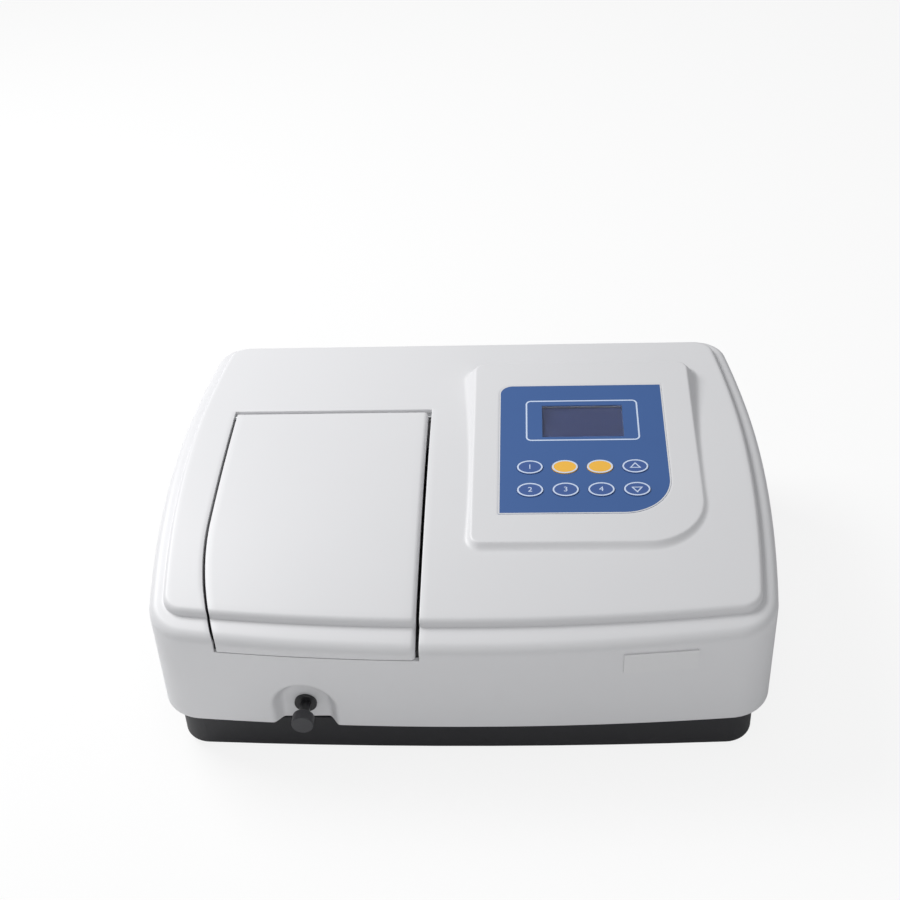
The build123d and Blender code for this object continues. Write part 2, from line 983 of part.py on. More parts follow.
def make_cell_carriage():
    half = carriage_width / 2
    carriage_top = carriage_bottom + carriage_height
    slot_floor = carriage_bottom + cell_floor
    carriage_back = carriage_front + carriage_length
    with BuildPart() as cell_carriage:
        box_between(
            (recess_x - half, carriage_front, carriage_bottom),
            (recess_x + half, carriage_back, carriage_top),
        )
        fillet(cell_carriage.edges().filter_by(Axis.Z), carriage_corner_radius)
        for x in rail_places():
            groove = rail_width / 2 + running_fit
            box_between(
                (x - groove, carriage_front, carriage_bottom),
                (x + groove, carriage_back, chamber_floor + rail_height + running_fit),
                mode=Mode.SUBTRACT,
            )
        with BuildSketch(level(slot_floor)):
            with Locations(*cell_places()):
                Rectangle(cell_slot, cell_slot)
        extrude(amount=carriage_height, mode=Mode.SUBTRACT)
        with BuildSketch(level(carriage_top - cell_lead_in)):
            with Locations(*cell_places()):
                Rectangle(cell_slot, cell_slot)
        extrude(amount=cell_lead_in, taper=-45, mode=Mode.SUBTRACT)
        for x, y in cell_places():
            with BuildSketch(across(x - half, y, beam_level)):
                SlotOverall(cell_window_height, cell_window_width, rotation=90)
            extrude(amount=carriage_width, mode=Mode.SUBTRACT)
        with BuildSketch(along(carriage_front, recess_x, rod_level)):
            Circle(rod_radius)
        extrude(amount=rod_thread, mode=Mode.SUBTRACT)
    return cell_carriage


def make_pull_rod():
    rod_front = knob_front + knob_length - rod_in_knob
    with BuildPart() as pull_rod:
        with BuildSketch(along(rod_front, recess_x, rod_level)):
            Circle(rod_radius)
        extrude(amount=carriage_front + rod_thread - rod_front)
        for i in range(cell_count):
            with BuildSketch(along(recess_back + bush_length + i * cell_pitch, recess_x, rod_level)):
                Circle(rod_radius)
                Circle(rod_radius - detent_depth, mode=Mode.SUBTRACT)
            extrude(amount=detent_width, mode=Mode.SUBTRACT)
    return pull_rod


def make_rod_knob():
    with BuildPart() as rod_knob:
        with BuildSketch(along(knob_front, recess_x, rod_level)):
            Circle(knob_radius)
        extrude(amount=knob_length)
        fillet(rod_knob.edges().sort_by(Axis.Y)[0], knob_fillet)
        fillet(rod_knob.edges().sort_by(Axis.Y)[-1], knob_fillet)
        with BuildSketch(along(knob_front + knob_length, recess_x, rod_level)):
            Circle(rod_radius)
        extrude(amount=-rod_in_knob, mode=Mode.SUBTRACT)
    return rod_knob


def make_rod_bush():
    with BuildPart() as rod_bush:
        with BuildSketch(along(recess_back, recess_x, rod_level)):
            Circle(bush_radius)
        extrude(amount=-bush_thickness)
        fillet(rod_bush.edges().sort_by(Axis.Y)[0], bush_fillet)
        with BuildSketch(along(recess_back, recess_x, rod_level)):
            Circle(bush_barrel_radius)
        extrude(amount=bush_length)
        with BuildSketch(along(recess_back, recess_x, rod_level)):
            Circle(rod_radius + running_fit)
        extrude(amount=bush_length, both=True, mode=Mode.SUBTRACT)
    return rod_bush


def make_keypad_overlay():
    with BuildPart() as keypad_overlay:
        with BuildSketch(console_floor):
            add(panel_outline())
            with Locations(*key_places()):
                Ellipse(key_width / 2 + seat_gap, key_height / 2 + seat_gap, mode=Mode.SUBTRACT)
            with Locations((window_centre_x, window_centre_y)):
                Rectangle(window_width, window_height, mode=Mode.SUBTRACT)
        extrude(amount=panel_thickness)
    return keypad_overlay


def make_lcd_window():
    with BuildPart() as lcd_window:
        with BuildSketch(console_face.offset(-window_drop)):
            with Locations((window_centre_x, window_centre_y)):
                Rectangle(window_width, window_height)
        extrude(amount=-window_thickness)
    return lcd_window


def make_lcd_module():
    module_top = wall + seat_gap
    with BuildPart() as lcd_module:
        with BuildSketch(console_face.offset(-module_top)):
            with Locations((window_centre_x, window_centre_y)):
                Rectangle(display_width, display_height)
        extrude(amount=module_top - board_drop)
    return lcd_module


def make_key(x, y):
    top = panel_thickness - panel_recess + key_proud
    flange_depth = wall + running_fit
    nub_depth = flange_depth + key_flange
    with BuildPart() as key:
        with BuildSketch(console_face.offset(top)):
            with Locations((x, y)):
                Ellipse(key_width / 2, key_height / 2)
        extrude(amount=-(top + flange_depth))
        fillet(key.edges().sort_by(Axis.Z)[-1], key_fillet)
        with BuildSketch(console_face.offset(-flange_depth)):
            with Locations((x, y)):
                Ellipse(key_width / 2 + key_lip, key_height / 2 + key_lip)
        extrude(amount=-key_flange)
        with BuildSketch(console_face.offset(-nub_depth)):
            with Locations((x, y)):
                Circle(key_nub_radius)
        extrude(amount=-key_nub_length)
    return key


def make_keypad_board():
    switch_top = wall + running_fit + key_flange + key_nub_length + key_travel + 2 * running_fit
    with BuildPart() as keypad_board:
        with BuildSketch(console_face.offset(-board_drop)):
            with Locations(((panel_left + panel_right) / 2, (panel_low + panel_high) / 2)):
                Rectangle(
                    panel_right - panel_left - 2 * board_edge,
                    panel_high - panel_low - 2 * board_edge,
                )
        extrude(amount=-board_thickness)
        with BuildSketch(console_face.offset(-board_drop)):
            with Locations(*key_places()):
                Rectangle(switch_width, switch_width)
        extrude(amount=board_drop - switch_top)
        with BuildSketch(console_face.offset(-board_drop - board_thickness)):
            with Locations(((panel_left + panel_right) / 2, panel_low + 2 * board_edge)):
                Rectangle(ribbon_width, ribbon_depth)
        extrude(amount=-ribbon_depth)
    return keypad_board


def front_wall_y(x, z):
    """Where the case's bowed and leaning front wall lies."""
    lean = (z - rim_level) / (shoulder_level - rim_level)
    bow = 1 / rim_bow_radius + lean * (1 / shoulder_bow_radius - 1 / rim_bow_radius)
    return rim_front + lean * (shoulder_front - rim_front) + bow * x**2 / 2


def plate_plane():
    """The plane that touches the front wall at the middle of the bare plate."""
    small = 0.5
    slope_x = front_wall_y(plate_x + small, plate_level) - front_wall_y(plate_x - small, plate_level)
    slope_z = front_wall_y(plate_x, plate_level + small) - front_wall_y(plate_x, plate_level - small)
    return Plane(
        origin=(plate_x, front_wall_y(plate_x, plate_level), plate_level),
        x_dir=(1, slope_x, 0),
        z_dir=(slope_x, -1, slope_z),
    )


def make_front_plate():
    with BuildPart() as front_plate:
        with BuildSketch(plate_plane().offset(plate_proud)):
            RectangleRounded(plate_width, plate_height, plate_corner_radius)
        extrude(amount=-plate_thickness)
    return front_plate


def make_optical_bed():
    with BuildPart() as optical_bed:
        with BuildSketch(level(bed_bottom)):
            with Locations(((bed_left + bed_right) / 2, (bed_front + bed_back) / 2)):
                RectangleRounded(bed_right - bed_left, bed_back - bed_front, bed_corner_radius)
            with Locations(*post_places()):
                Circle(post_radius + 2 * seat_gap, mode=Mode.SUBTRACT)
        extrude(amount=bed_top - bed_bottom)
    return optical_bed


def make_monochromator_housing():
    with BuildPart() as monochromator_housing:
        box_between((mono_left, mono_front, bed_top), (mono_right, mono_back, mono_top))
        fillet(monochromator_housing.edges().filter_by(Axis.Z), mono_corner_radius)
        box_between(
            (mono_left + mono_wall, mono_front + mono_wall, bed_top + mono_floor),
            (mono_right - mono_wall, mono_back - mono_wall, mono_top),
            mode=Mode.SUBTRACT,
        )
        for y in (sample_beam_y, lamp_beam_y):
            with BuildSketch(across(mono_left, y, beam_level)):
                Circle(beam_hole_radius)
            extrude(amount=mono_wall, mode=Mode.SUBTRACT)
        with BuildSketch(level(bed_top + mono_floor, grating_x, grating_y)):
            Circle(pivot_radius)
        extrude(amount=-pivot_seat, mode=Mode.SUBTRACT)
    return monochromator_housing


def make_monochromator_cover():
    with BuildPart() as monochromator_cover:
        box_between(
            (mono_left, mono_front, mono_top),
            (mono_right, mono_back, mono_top + mono_cover_thickness),
        )
        fillet(monochromator_cover.edges().filter_by(Axis.Z), mono_corner_radius)
    return monochromator_cover


def make_entrance_slit():
    with BuildPart() as entrance_slit:
        with BuildSketch(across(mono_left, lamp_beam_y, beam_level)):
            Circle(slit_radius)
            Rectangle(slit_width, slit_height, mode=Mode.SUBTRACT)
        extrude(amount=-slit_thickness)
    return entrance_slit


def make_exit_slit():
    tube_end = chamber_right + chamber_wall + seat_gap
    with BuildPart() as exit_slit:
        with BuildSketch(across(mono_left, sample_beam_y, beam_level)):
            Circle(slit_radius)
            Rectangle(slit_width, slit_height, mode=Mode.SUBTRACT)
        extrude(amount=-slit_thickness)
        with BuildSketch(across(mono_left - slit_thickness, sample_beam_y, beam_level)):
            Circle(window_radius)
            Circle(beam_hole_radius, mode=Mode.SUBTRACT)
        extrude(amount=-(mono_left - slit_thickness - tube_end))
    return exit_slit


def mirror_plane(y):
    """The front face of a mirror that folds the beam between a slit and the grating."""
    turn = atan2(y - grating_y, mirror_x - grating_x) / 2
    return Plane(
        origin=(mirror_x, y, beam_level),
        x_dir=(-sin(turn), cos(turn), 0),
        z_dir=(cos(turn), sin(turn), 0),
    )


def make_mirror(y):
    face = mirror_plane(y)
    with BuildPart() as mirror:
        with BuildSketch(face):
            Circle(mirror_radius)
        extrude(amount=mirror_thickness)
        dish_centre = face.offset(mirror_sag - mirror_focus_radius).origin
        with Locations(dish_centre):
            Sphere(mirror_focus_radius, mode=Mode.SUBTRACT)
    return mirror


def make_mirror_mounts():
    foot_drop = beam_level - bed_top - mono_floor
    with BuildPart() as mirror_mounts:
        for y in (sample_beam_y, lamp_beam_y):
            with BuildSketch(mirror_plane(y).offset(mirror_thickness)):
                Circle(mirror_radius)
                Rectangle(2 * mirror_radius, foot_drop, align=(Align.CENTER, Align.MAX))
            extrude(amount=mount_thickness)
            with BuildSketch(mirror_plane(y)):
                with Locations((0, -foot_drop)):
                    Rectangle(2 * mirror_radius, mount_thickness, align=(Align.CENTER, Align.MIN))
            extrude(amount=mirror_thickness)
    return mirror_mounts


def make_grating_pivot():
    floor = bed_top + mono_floor
    with BuildPart() as grating_pivot:
        with BuildSketch(level(floor - pivot_seat, grating_x, grating_y)):
            Circle(pivot_radius)
        extrude(amount=pivot_seat + arm_level - floor + table_height - table_top)
        with BuildSketch(level(floor, grating_x, grating_y)):
            Circle(2 * pivot_radius)
        extrude(amount=arm_level - running_fit - floor)
    return grating_pivot


def make_grating_table():
    table_level = arm_level + table_height
    with BuildPart() as grating_table:
        with BuildSketch(level(arm_level, grating_x, grating_y)):
            Circle(turntable_radius)
            Rectangle(arm_length, arm_width, align=(Align.MIN, Align.CENTER))
            with Locations((arm_length, 0)):
                Circle(arm_width / 2)
        extrude(amount=arm_thickness)
        with BuildSketch(level(arm_level, grating_x, grating_y)):
            Circle(turntable_radius)
        extrude(amount=table_height - table_top)
        with BuildSketch(level(table_level - table_top, grating_x, grating_y)):
            with Locations((-grating_thickness, 0)):
                Rectangle(2 * grating_thickness + 2 * table_top, grating_size)
        extrude(amount=table_top)
        with BuildSketch(level(table_level, grating_x, grating_y)):
            with Locations((-grating_thickness, 0)):
                Rectangle(table_top, grating_size, align=(Align.MAX, Align.CENTER))
        extrude(amount=grating_size / 2)
        with BuildSketch(level(arm_level, grating_x, grating_y)):
            Circle(pivot_radius + running_fit)
        extrude(amount=table_height - table_top + running_fit, mode=Mode.SUBTRACT)
    return grating_table


def make_diffraction_grating():
    bottom = arm_level + table_height
    half = grating_size / 2
    with BuildPart() as diffraction_grating:
        box_between(
            (grating_x - grating_thickness, grating_y - half, bottom),
            (grating_x, grating_y + half, bottom + grating_size),
        )
    return diffraction_grating


def drive_place(y):
    """The plane across the wavelength drive's axis at this depth."""
    return along(y, grating_x + arm_length, arm_level + arm_thickness / 2)


def make_wavelength_motor():
    floor = bed_top + mono_floor
    drop = arm_level + arm_thickness / 2 - floor
    with BuildPart() as wavelength_motor:
        with BuildSketch(drive_place(drive_front)):
            Rectangle(drive_size, 2 * drop)
        extrude(amount=-drive_length)
        fillet(wavelength_motor.edges().filter_by(Axis.Y), drive_fillet)
        with BuildSketch(drive_place(drive_front)):
            Circle(2 * drive_rod_radius)
        extrude(amount=drive_nose)
        with BuildSketch(drive_place(drive_front)):
            Circle(drive_rod_radius + running_fit)
        extrude(amount=drive_length, both=True, mode=Mode.SUBTRACT)
    return wavelength_motor


def make_wavelength_push_rod():
    tip = grating_y - arm_width / 2 - slide_gap
    with BuildPart() as wavelength_push_rod:
        with BuildSketch(drive_place(tip)):
            Circle(drive_rod_radius)
        extrude(amount=-drive_rod_length)
        fillet(wavelength_push_rod.edges().sort_by(Axis.Y)[-1], drive_rod_radius - running_fit)
    return wavelength_push_rod


def make_lamp_house():
    with BuildPart() as lamp_house:
        box_between(
            (lamp_house_left, lamp_house_front, bed_top),
            (lamp_house_right, lamp_house_back, lamp_house_top),
        )
        box_between(
            (lamp_house_left + lamp_wall, lamp_house_front + lamp_wall, bed_top + lamp_wall),
            (lamp_house_right - lamp_wall, lamp_house_back - lamp_wall, lamp_house_top),
            mode=Mode.SUBTRACT,
        )
        with BuildSketch(across(lamp_house_right, lamp_beam_y, beam_level)):
            Circle(window_radius)
        extrude(amount=-lamp_wall, mode=Mode.SUBTRACT)
        with BuildSketch(along(lamp_house_back, lamp_x, beam_level)):
            with GridLocations(0, 2 * vent_pitch, 1, lamp_vent_count):
                SlotOverall(vent_length, vent_width)
        extrude(amount=-lamp_wall, mode=Mode.SUBTRACT)
    return lamp_house


def make_lamp(y, base_radius, bulb_radius, bulb_height):
    floor = bed_top + lamp_wall
    with BuildPart() as lamp:
        with BuildSketch(level(floor, lamp_x, y)):
            Circle(base_radius)
        extrude(amount=lamp_base_height)
        with BuildSketch(level(floor + lamp_base_height, lamp_x, y)):
            Circle(bulb_radius)
        extrude(amount=bulb_height)
        fillet(lamp.edges().sort_by(Axis.Z)[-1], bulb_radius - seat_gap)
    return lamp


def make_tungsten_lamp():
    y = lamp_beam_y + lamp_spacing
    return make_lamp(y, tungsten_base_radius, tungsten_radius, tungsten_height)


def make_deuterium_lamp():
    y = lamp_beam_y - lamp_spacing
    return make_lamp(y, deuterium_radius, deuterium_radius, deuterium_height)


def make_lamp_mirror():
    shaft_bottom = bed_top + lamp_wall + lamp_motor_height + seat_gap
    mirror_bottom = beam_level - lamp_mirror_height / 2
    with BuildPart() as lamp_mirror:
        with BuildSketch(level(shaft_bottom, lamp_x, lamp_beam_y)):
            Circle(2 * lamp_shaft_radius)
        extrude(amount=mirror_bottom - shaft_bottom)
        with BuildSketch(level(shaft_bottom, lamp_x, lamp_beam_y)):
            Circle(lamp_shaft_radius + running_fit)
        extrude(amount=lamp_shaft_length, mode=Mode.SUBTRACT)
        with BuildSketch(level(mirror_bottom, lamp_x, lamp_beam_y)):
            Rectangle(lamp_mirror_width, lamp_mirror_thickness, rotation=-45)
        extrude(amount=lamp_mirror_height)
    return lamp_mirror


def make_lamp_mirror_motor():
    floor = bed_top + lamp_wall
    with BuildPart() as lamp_mirror_motor:
        with BuildSketch(level(floor, lamp_x, lamp_beam_y)):
            Circle(lamp_motor_radius)
        extrude(amount=lamp_motor_height)
        with BuildSketch(level(floor, lamp_x, lamp_beam_y)):
            Circle(lamp_shaft_radius)
        extrude(amount=lamp_motor_height + lamp_shaft_length)
    return lamp_mirror_motor


def filter_axis(x):
    """The plane across the filter wheel's axis, under the lamp's beam."""
    return across(x, lamp_beam_y, beam_level - filter_circle_radius)


def make_filter_wheel():
    with BuildPart() as filter_wheel:
        with BuildSketch(filter_axis(filter_wheel_x)):
            Circle(filter_wheel_radius)
            with PolarLocations(filter_circle_radius, filter_count, start_angle=90):
                Circle(filter_radius, mode=Mode.SUBTRACT)
        extrude(amount=filter_wheel_thickness)
        with BuildSketch(filter_axis(filter_wheel_x)):
            Circle(filter_hub_radius)
        extrude(amount=filter_hub_length)
        with BuildSketch(filter_axis(filter_wheel_x)):
            Circle(filter_shaft_radius + running_fit)
        extrude(amount=filter_hub_length, mode=Mode.SUBTRACT)
    return filter_wheel


def make_filters():
    with BuildPart() as optical_filters:
        with BuildSketch(filter_axis(filter_wheel_x)):
            with PolarLocations(filter_circle_radius, filter_count, start_angle=90):
                Circle(filter_radius)
        extrude(amount=filter_wheel_thickness)
    return optical_filters


def make_filter_motor():
    motor_end = filter_wheel_x - 2 * seat_gap
    drop = beam_level - filter_circle_radius - bed_top
    with BuildPart() as filter_motor:
        with BuildSketch(filter_axis(motor_end)):
            Circle(filter_motor_radius)
            Rectangle(filter_motor_radius, drop, align=(Align.CENTER, Align.MAX))
        extrude(amount=-filter_motor_length)
        with BuildSketch(filter_axis(motor_end)):
            Circle(filter_shaft_radius)
        extrude(amount=filter_hub_length)
    return filter_motor


def make_detector_housing():
    right = chamber_left - chamber_wall - 2 * seat_gap
    low_y = sample_beam_y - detector_half_depth
    high_y = sample_beam_y + detector_half_depth
    with BuildPart() as detector_housing:
        box_between((detector_left, low_y, bed_top), (right, high_y, detector_top))
        box_between(
            (detector_left + lamp_wall, low_y + lamp_wall, bed_top + lamp_wall),
            (right - lamp_wall, high_y - lamp_wall, detector_top),
            mode=Mode.SUBTRACT,
        )
        with BuildSketch(across(right, sample_beam_y, beam_level)):
            Circle(beam_hole_radius)
        extrude(amount=-lamp_wall, mode=Mode.SUBTRACT)
    return detector_housing


def make_photodiode():
    right = chamber_left - chamber_wall - 2 * seat_gap - lamp_wall
    half = detector_half_depth - 2 * lamp_wall
    with BuildPart() as photodiode:
        with BuildSketch(across(right, sample_beam_y, beam_level)):
            Circle(photodiode_radius)
        extrude(amount=-photodiode_length)
        with BuildSketch(across(right - photodiode_length, sample_beam_y, beam_level)):
            Rectangle(2 * half, 2 * photodiode_radius + 2 * lamp_wall)
        extrude(amount=-board_thickness)
    return photodiode


def make_rear_panel():
    with BuildPart() as rear_panel:
        box_between(
            (rear_left, back_inside - rear_thickness, rear_bottom),
            (rear_right, back_inside, rear_top),
        )
        cuts = (
            (inlet_x, inlet_width, inlet_height),
            (switch_x, switch_outer_width, switch_outer_height),
            (data_x, data_width, data_height),
        )
        for x, width, height in cuts:
            with BuildSketch(along(back_inside, x, socket_level)):
                Rectangle(width, height)
            extrude(amount=-rear_thickness, mode=Mode.SUBTRACT)
    return rear_panel


def make_socket(x, width, height, depth, cavity_width, cavity_height, cavity_depth):
    """A flanged socket body in the rear panel, open to the back."""
    with BuildPart() as socket:
        with BuildSketch(along(back_inside, x, socket_level)):
            Rectangle(width, height)
        extrude(amount=-depth)
        with BuildSketch(along(back_inside, x, socket_level)):
            RectangleRounded(width + 2 * inlet_flange, height + inlet_flange, inlet_flange / 2)
        extrude(amount=socket_proud)
        with BuildSketch(along(back_inside + socket_proud, x, socket_level)):
            Rectangle(cavity_width, cavity_height)
        extrude(amount=-cavity_depth, mode=Mode.SUBTRACT)
    return socket


def make_mains_inlet():
    cavity = inlet_depth - wall
    body = make_socket(
        inlet_x, inlet_width, inlet_height, inlet_depth, inlet_cavity_width, inlet_cavity_height, cavity
    )
    with BuildPart() as mains_inlet:
        add(body.part)
        with BuildSketch(along(back_inside + socket_proud - cavity, inlet_x, socket_level)):
            for x, y in ((-pin_spread, -pin_rise), (pin_spread, -pin_rise), (0, pin_rise)):
                with Locations((x, y)):
                    Rectangle(pin_width, pin_height)
        extrude(amount=cavity - socket_proud)
    return mains_inlet


def make_data_socket():
    return make_socket(
        data_x,
        data_width,
        data_height,
        data_depth,
        data_width - 2 * sheet - wall,
        data_height - 2 * sheet - wall / 2,
        data_depth - sheet,
    )


def make_power_switch():
    half_width = rocker_width / 2 + slide_gap
    with BuildPart() as power_switch:
        with BuildSketch(along(back_inside, switch_x, socket_level)):
            Rectangle(switch_outer_width, switch_outer_height)
        extrude(amount=-switch_depth)
        with BuildSketch(along(back_inside, switch_x, socket_level)):
            RectangleRounded(
                switch_outer_width + inlet_flange, switch_outer_height + inlet_flange, sheet
            )
        extrude(amount=socket_proud)
        with BuildSketch(along(back_inside + socket_proud, switch_x, socket_level)):
            Rectangle(2 * half_width, rocker_length + 3 * slide_gap)
        extrude(amount=-(switch_depth + socket_proud - wall), mode=Mode.SUBTRACT)
        with BuildSketch(across(switch_x - half_width - rocker_pin, rocker_y, socket_level)):
            Circle(rocker_pin + running_fit)
        extrude(amount=2 * (half_width + rocker_pin), mode=Mode.SUBTRACT)
    return power_switch


def make_power_rocker():
    half = rocker_length / 2
    with BuildPart() as power_rocker:
        with BuildSketch(across(switch_x - rocker_width / 2, rocker_y, socket_level)):
            with BuildLine():
                Polyline(
                    (-rocker_skirt, -half),
                    (rocker_lift, -half),
                    (rocker_valley, 0),
                    (rocker_lift, half),
                    (-rocker_skirt, half),
                    (-2 * rocker_skirt, 0),
                    close=True,
                )
            make_face()
        extrude(amount=rocker_width)
        pin_reach = rocker_width / 2 + slide_gap + rocker_pin - seat_gap
        with BuildSketch(across(switch_x - pin_reach, rocker_y, socket_level)):
            Circle(rocker_pin)
        extrude(amount=2 * pin_reach)
    turned = power_rocker.part.rotate(
        Axis((switch_x, rocker_y, socket_level), (1, 0, 0)), rocker_tilt
    )
    with BuildPart() as tilted_rocker:
        add(turned)
    return tilted_rocker


def make_fan_frame():
    front = back_inside - fan_depth
    with BuildPart() as fan_frame:
        with BuildSketch(along(front, fan_x, fan_level)):
            RectangleRounded(fan_size, fan_size, fan_corner_radius)
            Circle(fan_bore_radius, mode=Mode.SUBTRACT)
        extrude(amount=fan_depth)
        with BuildSketch(along(front, fan_x, fan_level)):
            Circle(fan_hub_radius)
            Rectangle(2 * fan_bore_radius + wall, fan_strut)
            Rectangle(fan_strut, 2 * fan_bore_radius + wall)
        extrude(amount=fan_strut)
        with BuildSketch(along(front, fan_x, fan_level)):
            Circle(fan_shaft_radius)
        extrude(amount=fan_depth - fan_strut)
    return fan_frame


def make_fan_rotor():
    front = back_inside - fan_depth + fan_strut + seat_gap
    length = fan_depth - fan_strut - 4 * seat_gap
    reach = fan_bore_radius - fan_blade_gap
    with BuildPart() as fan_rotor:
        for i in range(fan_blades):
            angle = radians(360 * i / fan_blades)
            out = Vector(cos(angle), 0, sin(angle))
            root = Vector(fan_x, front + length / 2, fan_level) + out * (fan_hub_radius - sheet)
            with BuildSketch(Plane(origin=root, x_dir=(0, 1, 0), z_dir=out)):
                Rectangle(length, sheet, rotation=fan_blade_twist)
            extrude(amount=reach - fan_hub_radius + sheet)
        with BuildSketch(along(front, fan_x, fan_level)):
            Circle(fan_hub_radius)
        extrude(amount=length)
        with BuildSketch(along(front, fan_x, fan_level)):
            Circle(fan_shaft_radius + running_fit)
        extrude(amount=length - sheet, mode=Mode.SUBTRACT)
    return fan_rotor


def make_power_supply():
    with BuildPart() as power_supply:
        box_between(
            (electronics_left, supply_front, floor_level),
            (electronics_right, supply_back, supply_top),
        )
        box_between(
            (electronics_left + sheet, supply_front + sheet, floor_level + sheet),
            (electronics_right - sheet, supply_back - sheet, supply_top - sheet),
            mode=Mode.SUBTRACT,
        )
        centre_x = (electronics_left + electronics_right) / 2
        with BuildSketch(level(supply_top, centre_x, (supply_front + supply_back) / 2)):
            with GridLocations(0, 2 * vent_pitch, 1, supply_vent_count):
                SlotOverall(vent_length, vent_width)
        extrude(amount=-sheet, mode=Mode.SUBTRACT)
    return power_supply


def make_main_board():
    top = board_level + board_thickness
    centre_x = (electronics_left + electronics_right) / 2
    with BuildPart() as main_board:
        box_between(
            (electronics_left, board_front, board_level),
            (electronics_right, board_back, top),
        )
        for y, size, height in board_chips:
            with BuildSketch(level(top, centre_x, y)):
                Rectangle(size, size)
            extrude(amount=height)
        with BuildSketch(level(top, centre_x, heat_sink_y)):
            with GridLocations(heat_sink_pitch, 0, heat_sink_fins, 1):
                Rectangle(sheet, heat_sink_depth)
        extrude(amount=heat_sink_height)
        with BuildSketch(level(top, centre_x, heat_sink_y)):
            Rectangle(heat_sink_fins * heat_sink_pitch, heat_sink_depth)
        extrude(amount=2 * sheet)
    return main_board


os.makedirs("parts", exist_ok=True)
case_outer = case_form(0.0)
case_inner = case_form(wall)

save(make_top_cover(case_outer, case_inner), "top_cover")
save(make_sample_lid(case_outer, case_inner), "sample_lid")
save(make_lid_hinge_pins(), "lid_hinge_pins")
save(make_base_tray(), "base_tray")
save(make_rubber_feet(), "rubber_feet")
save(make_cover_screws(), "cover_screws")
save(make_sample_chamber(), "sample_chamber")
save(make_chamber_seal(), "chamber_seal")
save(make_beam_windows(), "beam_windows")
save(make_carriage_rails(), "carriage_rails")
save(make_cell_carriage(), "cell_carriage")
save(make_pull_rod(), "pull_rod")
save(make_rod_knob(), "rod_knob")
save(make_rod_bush(), "rod_bush")
save(make_keypad_overlay(), "keypad_overlay")
save(make_lcd_window(), "lcd_window")
save(make_lcd_module(), "lcd_module")
save(make_keypad_board(), "keypad_board")
for key_name, (key_x, key_y) in zip(key_names, key_places()):
    save(make_key(key_x, key_y), key_name)
save(make_front_plate(), "front_plate")
save(make_optical_bed(), "optical_bed")
save(make_monochromator_housing(), "monochromator_housing")
save(make_monochromator_cover(), "monochromator_cover")
save(make_entrance_slit(), "entrance_slit")
save(make_exit_slit(), "exit_slit")
save(make_mirror(lamp_beam_y), "collimating_mirror")
save(make_mirror(sample_beam_y), "focusing_mirror")
save(make_mirror_mounts(), "mirror_mounts")
save(make_grating_pivot(), "grating_pivot")
save(make_grating_table(), "grating_table")
save(make_diffraction_grating(), "diffraction_grating")
save(make_wavelength_motor(), "wavelength_motor")
save(make_wavelength_push_rod(), "wavelength_push_rod")
save(make_lamp_house(), "lamp_house")
save(make_tungsten_lamp(), "tungsten_lamp")
save(make_deuterium_lamp(), "deuterium_lamp")
save(make_lamp_mirror(), "lamp_mirror")
save(make_lamp_mirror_motor(), "lamp_mirror_motor")
save(make_filter_wheel(), "filter_wheel")
save(make_filters(), "optical_filters")
save(make_filter_motor(), "filter_motor")
save(make_detector_housing(), "detector_housing")
save(make_photodiode(), "photodiode")
save(make_rear_panel(), "rear_panel")
save(make_mains_inlet(), "mains_inlet")
save(make_data_socket(), "data_socket")
save(make_power_switch(), "power_switch")
save(make_power_rocker(), "power_rocker")
save(make_fan_frame(), "fan_frame")
save(make_fan_rotor(), "fan_rotor")
save(make_power_supply(), "power_supply")
save(make_main_board(), "main_board")
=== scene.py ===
"""Dresses a bench spectrophotometer: moulded shell, lid, console print, trim and a plain studio.

Lengths in this file are millimetres unless a name says otherwise. They become metres in
one place, where a piece's points go into its mesh.
"""

import json
import math

import bmesh
import bpy
import numpy as np
from mathutils import Matrix, Vector


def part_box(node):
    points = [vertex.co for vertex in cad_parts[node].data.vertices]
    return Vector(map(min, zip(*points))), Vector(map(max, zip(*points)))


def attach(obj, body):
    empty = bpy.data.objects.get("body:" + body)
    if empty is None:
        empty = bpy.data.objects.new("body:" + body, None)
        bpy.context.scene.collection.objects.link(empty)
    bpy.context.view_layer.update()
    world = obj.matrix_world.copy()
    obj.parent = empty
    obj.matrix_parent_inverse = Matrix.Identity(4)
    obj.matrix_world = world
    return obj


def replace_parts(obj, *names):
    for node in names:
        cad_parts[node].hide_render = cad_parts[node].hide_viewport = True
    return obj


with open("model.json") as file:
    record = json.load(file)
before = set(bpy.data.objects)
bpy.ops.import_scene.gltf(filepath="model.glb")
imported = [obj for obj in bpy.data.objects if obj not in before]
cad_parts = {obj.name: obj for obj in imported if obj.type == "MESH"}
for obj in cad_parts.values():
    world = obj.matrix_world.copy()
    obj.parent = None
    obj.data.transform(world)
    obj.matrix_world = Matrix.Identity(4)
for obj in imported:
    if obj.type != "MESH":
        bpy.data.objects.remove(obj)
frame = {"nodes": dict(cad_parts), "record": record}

bl_info = {
    "name": "Bench spectrophotometer",
    "version": (1, 0, 0),
    "blender": (4, 5, 0),
    "location": "3D View > Sidebar > Spectrophotometer",
    "description": "Moulded shell, lid, keypad print and studio round the packed instrument",
    "category": "Object",
}

METRE = 1000.0

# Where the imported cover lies
cover_low, cover_high = (np.array(corner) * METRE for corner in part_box("top_cover"))
case_half_width = float(cover_high[0])
case_back = float(cover_high[1])
rim_level = float(cover_low[2])

# Case
wall = 3.0
rim_front = -172.5
shoulder_front = -177.0
shoulder_level = 131.0
top_level = 160.0
crest_y = 77.0
nose_radius = 1070.0
side_bow_y = -18.0
side_bow_radius = 1150.0
rim_bow_radius = 2320.0
shoulder_bow_radius = 1485.0
front_corner = 34.0
back_corner = 26.0
shoulder_fillet = 7.0
rim_edge = 1.0
rim_lip = 8.0
rim_hem = 0.4

